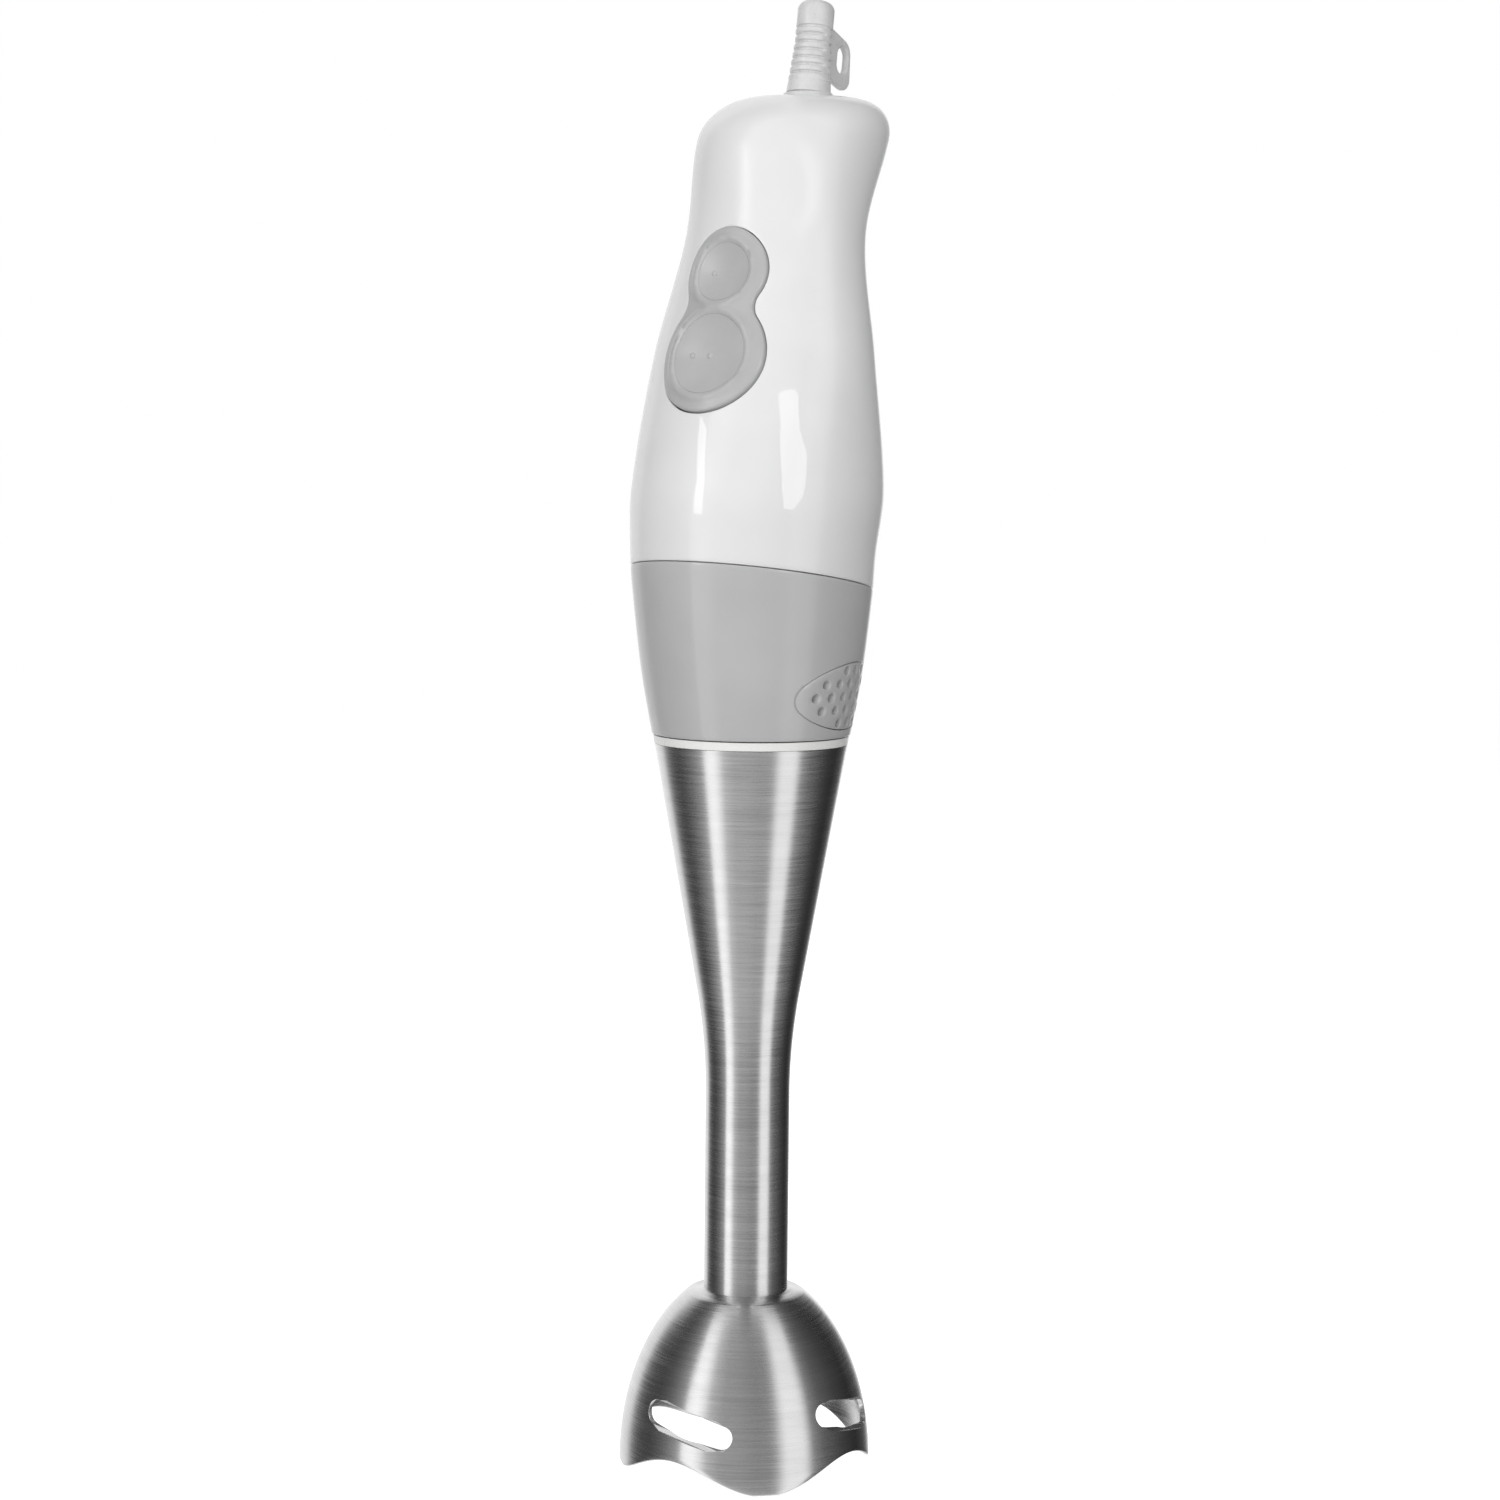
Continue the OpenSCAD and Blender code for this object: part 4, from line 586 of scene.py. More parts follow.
buttonAt = (upperZ - lowerZ) / 2 / math.cos(padTilt)


# x runs across the pad, y up it and depth out of it
def padPoint(x, y, depth):
    return (x, padY + y * math.sin(padTilt) - depth * math.cos(padTilt),
            padZ + y * math.cos(padTilt) + depth * math.sin(padTilt))


# depth at which the handle's skin lies under a place on the pad
def skinDepth(x, y):
    depth = 0
    for _ in range(7):
        lean, halfWidth, halfDepth = handleAt(padPoint(x, y, depth)[2])
        skinY = lean - halfDepth * math.sqrt(1 - (x / halfWidth)**2)
        depth = (padY + y * math.sin(padTilt) - skinY) / math.cos(padTilt)
    return depth


# two circles joined by a fillet on each side
def padOutline(grow):
    steps = padShape["outlineSteps"]
    upper = padShape["upperRadius"] + grow
    lower = padShape["lowerRadius"] + grow
    fillet = padShape["fillet"] - grow
    pitch = 2 * buttonAt
    along = (pitch**2 + (lower + fillet)**2 - (upper + fillet)**2) / (2 * pitch)
    side = math.sqrt((lower + fillet)**2 - along**2)
    lowTurn = math.atan2(along, side)
    highTurn = math.atan2(pitch - along, side)
    right = []
    for i in range(2 * steps + 1):
        turn = -math.pi / 2 + i * (math.pi / 2 + lowTurn) / (2 * steps)
        right.append((lower * math.cos(turn), lower * math.sin(turn) - buttonAt))
    for i in range(1, steps // 2):
        turn = math.pi + lowTurn - i * (lowTurn + highTurn) / (steps // 2)
        right.append((side + fillet * math.cos(turn), along - buttonAt + fillet * math.sin(turn)))
    for i in range(2 * steps + 1):
        turn = -highTurn + i * (math.pi / 2 + highTurn) / (2 * steps)
        right.append((upper * math.cos(turn), upper * math.sin(turn) + buttonAt))
    return right + [(-x, y) for x, y in reversed(right[1:-1])]


# a soft ridge runs round each dish
def padRise(x, y):
    rise = 0
    for middle, radius in ((buttonAt, padShape["upperButton"]), (-buttonAt, padShape["lowerButton"])):
        away = math.hypot(x, y - middle) - radius - padShape["ridgeAt"]
        rise = max(rise, padShape["ridge"] * math.exp(-(away / padShape["ridgeWidth"])**2))
    return padShape["proud"] + rise


housing = handleBody("housing", grow=0, below=0, edge=handleShape["edgeRound"],
                     columns=handleShape["columns"], rows=handleShape["rows"])
carve(housing, handleBody("hollow", grow=-handleShape["wall"], below=4, edge=0, columns=90, rows=30))
aside, down = padShape["gapShift"]
carve(housing, mouthTool("padMouth", lambda grow: padOutline(padShape["gap"] + grow),
                         lambda x, y, depth: padPoint(x + aside, y + down, depth),
                         skinDepth, padShape["mouthLip"], padShape["mouthDepths"]))
print("housing shaped")


reliefShape = {
    "backY": 22.9,          # its axis, behind the shaft's axis
    "lean": 8.4,
    "length": 25.4,
    "footRadius": 6.4,
    "footHeight": 1.5,
    "footEdge": [(-0.1, 0.03), (0, 0.12), (0, 1.05), (-0.13, 1.35), (-0.42, 1.5)],  # growth and height
    "collarFrom": 1.1,
    "collarHeight": 4.4,
    "collarFlare": 0.5,
    "ribRadius": 5.5,       # of the lowest rib
    "waistHeight": 15.7,
    "waistRadius": 4.65,
    "tipRadius": 4.8,
    "tipHeight": 6.8,
    "tipRound": 2.4,
    "tipTurn": 66,          # the rounding's last angle, in degrees
    "tipMouth": 0.6,        # depth of the sunk ring round the bore
    "ribs": 7,
    "ribSwell": 0.12,
    "ribSpan": 0.7,         # share of the pitch that a rib takes
    "grooveDepth": 0.6,
    "grooveAt": 0.82,       # its middle and half its width, as shares of the pitch
    "grooveWide": 0.17,
    "webWide": 0.06,        # uneven webs on both sides that the grooves die out in
    "webFill": 0.85,
    "webLump": 0.16,
    "boreRadius": 3.2,
    "footBore": 3.8,
    "neckRadius": 5,
    "neck": (-7, 0.8),      # where the plain neck starts, inside the housing, and ends
    "holeGap": 0.1,         # round the neck in the housing
    "holeDepths": (-20, 10),
    "columns": 72,
    "footColumns": 96,
    "rows": 170,
    "tipRows": 8,
}
loopShape = {
    "plate": 2,             # thickness of the plate that it is cut from
    "edgeRound": 0.75,
    # distance from the relief's axis, height and radius of the discs that its outside is drawn round
    "outside": [(5, 19.9, 1.2), (5, 9, 1.2), (14.3, 8.9, 3), (12.5, 14.9, 4.2)],
    "opening": [(12.8, 12.2, 2.2), (12.8, 14.5, 2.2)],
    "columns": 120,
}
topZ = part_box("upper_housing")[1].z / mm


def reliefPoint(x, y, z):
    lean = math.radians(reliefShape["lean"])
    return (x, reliefShape["backY"] + y * math.cos(lean) + z * math.sin(lean),
            topZ - y * math.sin(lean) + z * math.cos(lean))


# radius of the outside at a height and an angle
def reliefRadius(z, angle, shape):
    tipFrom = shape["length"] - shape["tipHeight"]
    if z < shape["collarHeight"]:
        return shape["ribRadius"] + shape["collarFlare"] * (1 - z / shape["collarHeight"])
    if z > shape["waistHeight"]:
        share = min(1, (z - shape["waistHeight"]) / (tipFrom - shape["waistHeight"]))
        radius = shape["waistRadius"] + (shape["tipRadius"] - shape["waistRadius"]) * share
    else:
        share = (z - shape["collarHeight"]) / (shape["waistHeight"] - shape["collarHeight"])
        radius = shape["ribRadius"] + (shape["waistRadius"] - shape["ribRadius"]) * share
    if z > tipFrom:
        return radius
    along = (z - shape["collarHeight"]) / (tipFrom - shape["collarHeight"]) * shape["ribs"]
    groove = shape["grooveDepth"] * math.exp(-((along % 1 - shape["grooveAt"]) / shape["grooveWide"])**4)
    swell = shape["ribSwell"] * math.sin(math.pi * min(1, along % 1 / shape["ribSpan"]))
    web = math.exp(-((abs(math.sin(angle)) - 1) / shape["webWide"])**2)
    shift = 0.25 if math.sin(angle) > 0 else 0  # the two webs aren't alike
    lump = shape["webLump"] * web * math.sin(math.tau * (along / 2 + shift))
    return radius + swell * (1 - web) - groove * (1 - shape["webFill"] * web) + lump


# point of an outline drawn round discs, where it faces in a direction
def roundOutline(discs, turn, grow):
    across, up = math.cos(turn), math.sin(turn)
    y, z, radius = max(discs, key=lambda disc: disc[0] * across + disc[1] * up + disc[2])
    return y + (radius + grow) * across, z + (radius + grow) * up


def makeRelief(shape):
    angles = turnsOf(shape["columns"])
    neckLow, neckTop = shape["neck"]
    start = shape["collarFrom"]
    bodyTop = shape["length"] - shape["tipRound"]
    rings = []

    def ring(z, radiusAt):
        rings.append([reliefPoint(radiusAt(a) * math.sin(a), -radiusAt(a) * math.cos(a), z) for a in angles])

    ring(neckLow, lambda a: shape["neckRadius"])
    ring(neckTop, lambda a: shape["neckRadius"])
    for j in range(shape["rows"] + 1):
        z = start + (bodyTop - start) * j / shape["rows"]
        ring(z, lambda a: reliefRadius(z, a, shape))
    for j in range(1, shape["tipRows"] + 1):
        turn = math.radians(shape["tipTurn"] * j / shape["tipRows"])
        ring(bodyTop + shape["tipRound"] * math.sin(turn),
             lambda a: shape["tipRadius"] - shape["tipRound"] * (1 - math.cos(turn)))
    ring(shape["length"] - shape["tipMouth"], lambda a: shape["boreRadius"])
    ring(neckLow, lambda a: shape["boreRadius"])
    piece = loft("strainRelief", rings, joined=True)

    outline = [(shape["footRadius"] + grow, z) for grow, z in shape["footEdge"]]
    outline += [(shape["footBore"], shape["footHeight"]), (shape["footBore"], outline[0][1])]
    foot = [circle(radius, shape["footColumns"], topZ + z, (0, shape["backY"])) for radius, z in outline]
    carve(piece, loft("foot", foot, joined=True), "UNION")
    carve(piece, makeLoop(loopShape), "UNION")
    return piece


# the hanging loop: a plate with rounded edges round an oblong opening
def makeLoop(shape):
    profile = [(shape["plate"] / 2 - rise, inset) for rise, inset in roundedEdge(shape["edgeRound"], 5)]
    strap = []
    for discs, inward, front in ((shape["outside"], -1, -1), (shape["outside"], -1, 1),
                                 (shape["opening"], 1, 1), (shape["opening"], 1, -1)):
        steps = profile if front * inward > 0 else list(reversed(profile))
        for x, inset in steps:
            strap.append([reliefPoint(front * x, *roundOutline(discs, turn, inward * inset))
                          for turn in turnsOf(shape["columns"])])
    return loft("hangingLoop", strap, joined=True)


strainRelief = makeRelief(reliefShape)
holeRadius = reliefShape["neckRadius"] + reliefShape["holeGap"]
cordHole = [[reliefPoint(holeRadius * math.sin(turn), -holeRadius * math.cos(turn), z)
             for turn in turnsOf(60)] for z in reliefShape["holeDepths"]]
carve(housing, loft("cordHole", cordHole))
finishPiece(housing, "white_abs", "housing", "upper_housing")
finishPiece(strainRelief, "white_pvc", "housing", "strain_relief", 40)
print("strain relief shaped")


collarShape = {
    "ventAngle": 102,     # from the front
    "ventHeight": 10.8,   # over the joint
    "ventWidth": 38,
    "ventTall": 17.4,
    "groove": 0.09,       # half the groove round a vent
    "mouthLip": [(-0.3, 0), (-0.1, 0.05), (0, 0.2), (0.6, 0.9)],
    "mouthDepths": (12, 40),
    # inset and drop of a grille's rounded edge, and growth and drop of the edge round a hole
    "edge": [(0, 0.3), (0.08, 0.1), (0.3, 0)],
    "holeEdge": [(0, 0.26), (0.08, 0.09), (0.28, 0)],
    "holeRadius": 1.1,
    "holePitch": 4.73,
    "rowPitch": 3.354,
    "borderWide": 2.6,
    "borderTall": 1.6,
    "step": 0.8,          # spacing of the grille's mesh
    "clear": (0.65, 0.6),  # no mesh points this near the border or the holes
    "ovalColumns": 120,
    "holeColumns": 28,
    "lip": 5,             # reaches up into the housing
    "lipGap": 0.4,        # between the lip and the housing's wall
    "lipWall": 1.2,
    "lipRoot": (7, 9),    # where its inside runs out into the wall, under the seam
    "mouthTall": 2,       # wider mouth that takes the ring on the leg
    "mouthWall": 1.5,
    "columns": 220,
    "rows": 44,
}
ventZ = jointZ + collarShape["ventHeight"]


def makeCollar(shape):
    angles = turnsOf(shape["columns"])
    edge = handleShape["edgeRound"]
    rounded = roundedEdge(edge, 3)
    wall = -handleShape["wall"]
    under = [seamAt(angle) - handleShape["seamGap"] for angle in angles]
    rings = []

    def ring(heights, grow):
        rings.append([skinPoint(a, z, grow) for a, z in zip(angles, heights)])

    for rise, inset in rounded:
        ring([jointZ + rise] * len(angles), -inset)
    for j in range(1, shape["rows"] + 1):
        ring([jointZ + edge + (z - jointZ - 2 * edge) * j / shape["rows"] for z in under], 0)
    for rise, inset in reversed(rounded[:-1]):
        ring([z - rise for z in under], -inset)
    lipOut = wall - shape["lipGap"]
    lipIn = lipOut - shape["lipWall"]
    rootTop, rootLow = shape["lipRoot"]
    for lift, grow in ((0, lipOut), (shape["lip"], lipOut), (shape["lip"], lipIn),
                       (-rootTop, lipIn), (-rootLow, wall)):
        ring([z + lift for z in under], grow)
    for lift, grow in ((shape["mouthTall"], wall), (shape["mouthTall"], -shape["mouthWall"]),
                       (0, -shape["mouthWall"])):
        ring([jointZ + lift] * len(angles), grow)
    return loft("collar", rings, joined=True)


# x runs along the vent, y up it and depth out of the collar
def ventPoint(side, x, y, depth):
    turn = math.radians(side * collarShape["ventAngle"])
    return (x * math.cos(turn) + depth * math.sin(turn), x * math.sin(turn) - depth * math.cos(turn),
            ventZ + y)


def ventDepth(x, y, grow=0):
    return math.sqrt((handleAt(ventZ + y)[1] + grow)**2 - x**2)


def ventOval(grow):
    return [((collarShape["ventWidth"] / 2 + grow) * math.cos(turn),
             (collarShape["ventTall"] / 2 + grow) * math.sin(turn))
            for turn in turnsOf(collarShape["ovalColumns"])]


def makeGrille(name, side, shape):
    holes = []
    for row in range(-2, 3):
        for col in range(-4, 5):
            x = (col + 0.5 * (row % 2)) * shape["holePitch"]
            y = row * shape["rowPitch"]
            if ((x / (shape["ventWidth"] / 2 - shape["borderWide"]))**2
                    + (y / (shape["ventTall"] / 2 - shape["borderTall"]))**2 < 1):
                holes.append((x, y))
    gap = shape["groove"]
    rings = [(ventOval(-gap - inset), drop) for inset, drop in shape["edge"]]
    rings += [(circle(shape["holeRadius"] + grow, shape["holeColumns"], 0, hole), drop)
              for hole in holes for grow, drop in shape["holeEdge"]]
    border = ventOval(-gap)
    atBorder, atHoles = shape["clear"]
    room = ventOval(-gap - atBorder)

    def kept(x, y):
        return within(x, y, border) and all(
            math.hypot(x - hx, y - hy) > shape["holeRadius"] for hx, hy in holes)

    def roomy(x, y):
        return within(x, y, room) and all(
            math.hypot(x - hx, y - hy) > shape["holeRadius"] + atHoles for hx, hy in holes)

    return platePiece(name, rings, kept, roomy, (shape["ventWidth"] / 2, shape["ventTall"] / 2),
                      shape["step"], lambda x, y, depth: ventPoint(side, x, y, depth),
                      ventDepth, lambda x, y: ventDepth(x, y, -handleShape["wall"]))


collar = makeCollar(collarShape)
for side in (-1, 1):
    carve(collar, mouthTool("ventMouth", lambda grow: ventOval(collarShape["groove"] + grow),
                            lambda x, y, depth: ventPoint(side, x, y, depth),
                            ventDepth, collarShape["mouthLip"], collarShape["mouthDepths"]))
finishPiece(collar, "grey_abs", "housing", "lower_collar")
finishPiece(makeGrille("leftVentGrille", -1, collarShape), "grey_abs", "housing", "left_vent_grille")
finishPiece(makeGrille("rightVentGrille", 1, collarShape), "grey_abs", "housing", "right_vent_grille")
print("collar and vents shaped")


def makePad(shape):
    gap = shape["buttonGap"]
    holes = ((buttonAt, shape["upperButton"] + gap), (-buttonAt, shape["lowerButton"] + gap))
    rings = [(padOutline(-inset), drop) for inset, drop in shape["edge"]]
    rings += [(circle(radius + grow, shape["columns"], 0, (0, middle)), drop)
              for middle, radius in holes for grow, drop in shape["holeEdge"]]
    border = padOutline(0)
    room = padOutline(-shape["clear"][0])

    def kept(x, y):
        return within(x, y, border) and all(math.hypot(x, y - m) > r for m, r in holes)

    def roomy(x, y):
        return within(x, y, room) and all(math.hypot(x, y - m) > r + shape["clear"][1] for m, r in holes)

    return platePiece("buttonPad", rings, kept, roomy, shape["span"], shape["step"], padPoint,
                      lambda x, y: skinDepth(x, y) + padRise(x, y),
                      lambda x, y: skinDepth(x, y) - shape["thick"])


# a dished cap with its flange, and small beads that tell the speeds apart
def makeButton(name, middle, radius, dish, beads, shape):
    turns = turnsOf(shape["columns"])

    def capDepth(x, y, away):
        bowl = dish * (1 - min(1, away / radius)**2)**shape["dishPower"]
        return skinDepth(x, y) + padRise(x, y) - bowl

    def capRing(away, drop=0):
        spots = [(away * math.sin(turn), middle - away * math.cos(turn)) for turn in turns]
        return [padPoint(x, y, capDepth(x, y, away) - drop) for x, y in spots]

    rings = [capRing(radius * j / shape["dishRows"]) for j in range(1, shape["dishRows"])]
    rings += [capRing(radius - inset, rise) for rise, inset in roundedEdge(shape["buttonEdge"], 4)]
    flangeTop = -shape["flangeDepth"]
    flangeLow = flangeTop - shape["flangeThick"]
    for away, depth in ((radius, flangeTop), (radius + shape["flangeWide"], flangeTop),
                        (radius + shape["flangeWide"], flangeLow), (shape["stubRadius"], flangeLow),
                        (shape["stubRadius"], -shape["stubDepth"])):
        rings.append([padPoint(away * math.sin(turn), middle - away * math.cos(turn), depth)
                      for turn in turns])
    piece = loft(name, rings)
    for x in beads:
        base = capDepth(x, middle, abs(x))
        bead = []
        for lean in shape["beadTurns"]:
            away = shape["beadRadius"] * math.cos(math.radians(lean))
            level = base + shape["beadHeight"] * math.sin(math.radians(lean))
            bead.append([padPoint(x + away * math.cos(turn), middle + away * math.sin(turn), level)
                         for turn in turnsOf(shape["beadColumns"])])
        carve(piece, loft("bead", bead), "UNION")
    return piece


finishPiece(makePad(padShape), "soft_grey", "housing", "button_pad", 50)
lowButton = makeButton("lowSpeedButton", buttonAt, padShape["upperButton"], padShape["upperDish"],
                       padShape["upperBeads"], padShape)
highButton = makeButton("highSpeedButton", -buttonAt, padShape["lowerButton"], padShape["lowerDish"],
                        padShape["lowerBeads"], padShape)
finishPiece(lowButton, "soft_grey", "low_button", "low_speed_button", 50)
finishPiece(highButton, "soft_grey", "high_button", "high_speed_button", 50)
print("pad and buttons shaped")


legShape = {
    "topRadius": 25,
    "tubeRadius": 11,
    "coneAngle": 10.15,
    "curveRadius": 154,
    "wall": 0.6,
    "edgeRound": 0.25,
    "columns": 192,
    "coneRows": 41,
    "curveRows": 24,
    "tubeRows": 24,
}
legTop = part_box("leg_tube")[1].z / mm
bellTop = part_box("leg_tube")[0].z / mm


# radius and height down the outside: cone, curve and tube
def legOutline(shape):
    slant = math.radians(shape["coneAngle"])
    step = shape["curveRadius"] * (1 - math.cos(slant))
    curveTop = legTop - (shape["topRadius"] - shape["tubeRadius"] - step) / math.tan(slant)
    curveLow = curveTop - shape["curveRadius"] * math.sin(slant)
    outline = []
    for j in range(shape["coneRows"]):
        z = legTop - (legTop - curveTop) * j / shape["coneRows"]
        outline.append((shape["topRadius"] - (legTop - z) * math.tan(slant), z))
    for j in range(shape["curveRows"] + 1):
        turn = slant * (1 - j / shape["curveRows"])
        outline.append((shape["tubeRadius"] + shape["curveRadius"] * (1 - math.cos(turn)),
                        curveLow + shape["curveRadius"] * math.sin(turn)))
    for j in range(1, shape["tubeRows"] + 1):
        outline.append((shape["tubeRadius"], curveLow + (bellTop - curveLow) * j / shape["tubeRows"]))
    return outline


def makeLeg(shape):
    outline = legOutline(shape)
    edge = shape["edgeRound"]
    corner = 0.3 * edge  # the rounding's middle lies this far inside the corner
    radius, top = outline[0]
    rows = [(radius - edge, top), (radius - corner, top - corner), (radius, top - edge)]
    rows += outline[1:]
    rows += [(r - shape["wall"], z) for r, z in reversed(outline[1:])]
    rows.append((radius - shape["wall"], top))
    return loft("legTube", [circle(r, shape["columns"], z) for r, z in rows], joined=True)


finishPiece(makeLeg(legShape), "brushed_stainless", "leg", "leg_tube")
print("leg shaped")


bellShape = {
    "radius": 32.9,
    "curveHeight": 50.4,   # height of the ellipse that its side follows
    "wall": 1.3,
    "neck": 8.1,
    "shoulder": 13.2,      # where the inside meets its flat top
    "sideTop": (1.1, 1.9),  # how far under the top, and under its inside, the curved side ends
    "weld": 11.9,          # radius of the weld bead round the tube
    "weldEdge": [(-0.5, 0), (0, -0.12), (0.35, -0.28)],  # growth and height of its side
    "sag": 0.65,           # how hollow the top runs from the weld to the side
    "scallop": 6.8,
    "footFlat": 0.3,
    "rimRound": 0.45,
    "slotLength": 19.4,
    "slotTall": 6,
    "slotTilt": 11,
    "slotHeight": 16.2,
    "slotAngle": 6,
    "slotLip": [(-0.25, 0), (-0.08, 0.05), (0.02, 0.2), (0.6, 0.9)],
    "slotDepths": (18, 45),
    "columns": 240,
    "rows": 54,
    "crowding": 1.35,      # above 1 the rows lie closer together where the side turns in
}


def bellRadius(z, inset=0):
    share = z / (bellShape["curveHeight"] - inset)
    return (bellShape["radius"] - inset) * math.sqrt(max(0, 1 - share**2))


# height of the rim: four feet between four scallops
def rimAt(angle):
    tall = bellShape["scallop"] + bellShape["footFlat"]
    return max(0, tall * (0.5 + 0.5 * math.cos(4 * angle)) - bellShape["footFlat"])


def makeBell(shape):
    edge = shape["rimRound"]
    wall = shape["wall"]
    shares = [1 - (1 - j / shape["rows"])**shape["crowding"] for j in range(shape["rows"] + 1)]
    rings = []

    def ring(radius, height):
        rings.append([(radius(a) * math.sin(a), -radius(a) * math.cos(a), height(a))
                      for a in turnsOf(shape["columns"])])

    def sideRing(share, top, inset=0):
        def level(a):
            return rimAt(a) + edge + (top - rimAt(a) - edge) * share
        ring(lambda a: bellRadius(level(a), inset), level)

    top = bellTop - shape["sideTop"][0]
    for share in reversed(shares):
        sideRing(share, top)
    for k in range(1, 8):
        turn = math.pi * k / 8
        ring(lambda a: bellRadius(rimAt(a) + edge) - wall / 2 + wall / 2 * math.cos(turn),
             lambda a: rimAt(a) + edge * (1 - math.sin(turn)))
    for share in shares:
        sideRing(share, bellTop - wall - shape["sideTop"][1], wall)
    outline = [(shape["shoulder"], bellTop - wall), (shape["neck"], bellTop - wall), (shape["neck"], bellTop)]
    outline += [(shape["weld"] + grow, bellTop + lift) for grow, lift in shape["weldEdge"]]
    weldRadius, weldZ = outline[-1]
    for share in (0.3, 0.65):
        fall = (1 - shape["sag"]) * share + shape["sag"] * share**2
        outline.append((weldRadius + (bellRadius(top) - weldRadius) * share, weldZ - (weldZ - top) * fall))
    for radius, z in outline:
        ring(lambda a: radius, lambda a: z)
    return loft("bladeGuard", rings, joined=True)


# x runs along the slot and y up it; the place beside the slot's middle and its height over the floor
def slotSpot(x, y):
    tilt = math.radians(-bellShape["slotTilt"])
    return (x * math.cos(tilt) - y * math.sin(tilt),
            bellShape["slotHeight"] + x * math.sin(tilt) + y * math.cos(tilt))


def slotPoint(turn, x, y, depth):
    along, z = slotSpot(x, y)
    return (along * math.cos(turn) + depth * math.sin(turn),
            along * math.sin(turn) - depth * math.cos(turn), z)


# depth at which the bell's outside lies behind a place on the slot
def slotFace(x, y):
    along, z = slotSpot(x, y)
    return math.sqrt(bellRadius(z)**2 - along**2)


def slotOutline(grow):
    radius = bellShape["slotTall"] / 2 + grow
    half = bellShape["slotLength"] / 2
    outline = []
    for end, start in ((1, -90), (-1, 90)):
        for k in range(17):
            turn = math.radians(start + 180 * k / 16)
            outline.append((end * half + radius * math.cos(turn), radius * math.sin(turn)))
    return outline


bell = makeBell(bellShape)
for quarter in range(4):
    turn = math.radians(bellShape["slotAngle"] + 90 * quarter)
    carve(bell, mouthTool("slotMouth", slotOutline, lambda x, y, depth: slotPoint(turn, x, y, depth),
                          slotFace, bellShape["slotLip"], bellShape["slotDepths"]))
finishPiece(bell, "brushed_stainless", "leg", "blade_guard", 28)
print("bell shaped")


keptFinishes = {
    "white_nylon": ["leg_boss", "leg_coupler", "bearing_carrier", "low_speed_plunger", "high_speed_plunger",
                    "thrust_washer", "cooling_fan", "cord_clamp"],
    "black_nylon": ["low_speed_switch", "high_speed_switch", "motor_dog", "shaft_dog"],
    "circuit_board": ["switch_board"],
    "film_case": ["suppression_capacitor"],
    "glass_black": ["speed_diode"],
    "zinc_steel": ["clamp_screws", "motor_screws", "boss_screws", "brush_springs"],
    "lead_blue": ["motor_leads"],
    "lamination": ["stator_core", "armature_core"],
    "copper": ["field_coils", "armature_windings", "commutator"],
    "zinc_bracket": ["upper_bracket", "lower_bracket"],
    "bronze": ["upper_bearing", "lower_bearing", "upper_bush", "lower_bush"],
    "black_rubber": ["upper_damper", "lower_damper", "leg_seal", "shaft_seal"],
    "brass": ["brush_holders"],
    "carbon": ["carbon_brushes"],
    "shaft_steel": ["motor_shaft", "drive_shaft", "shaft_clip", "blade_nut"],
    "blade_steel": ["blade"],
}
edgeBevel = {"width": 0.12, "segments": 2, "angle": 40}
for slotName, names in keptFinishes.items():
    for name in names:
        node = nodes[name]
        node.data.materials.clear()
        node.data.materials.append(finishes[slotName])
        edges = node.modifiers.new("edges", "BEVEL")
        edges.width = edgeBevel["width"] * mm
        edges.segments = edgeBevel["segments"]
        edges.limit_method = "ANGLE"
        edges.angle_limit = math.radians(edgeBevel["angle"])
        edges.use_clamp_overlap = True
        node.modifiers.new("weld", "WELD").merge_threshold = 4 * mergeGap
print("inner parts finished")


studio = {
    "ground": "#F9F9F9",
    "groundPatch": "#F7F7F7",
    "groundGrain": 300,
    "groundShade": "#B4B4B4",   # what the floor throws back on the blender
    "groundGlow": 0.72,
    "backdrop": "#FFFFFF",
    # brightness round the blender, by degrees from the camera's direction
    "around": [(-180, 1.1), (-150, 0.96), (-139, 0.88), (-133, 0.62), (-129, 0.36), (-122, 0.15),
               (-112, 0.08), (-98, 0.07), (-86, 0.12), (-77, 0.2), (-66, 0.38), (-62, 0.6), (-59, 1.4),
               (-48, 1.4), (-41, 1.05), (-35, 0.6), (-22, 0.41), (-5, 0.37), (12, 0.3), (24, 0.31),
               (30, 0.45), (35, 0.85), (40, 1.15), (58, 1.15), (62, 0.85), (67, 0.32), (80, 0.14),
               (102, 0.07), (126, 0.03), (145, 0.08), (156, 0.25), (166, 1.0)],
    "below": (34, 46),          # degrees under the horizon between which white takes over
    "above": (35, 60, 0.8),     # degrees over it between which the pattern spreads, and by how much
}


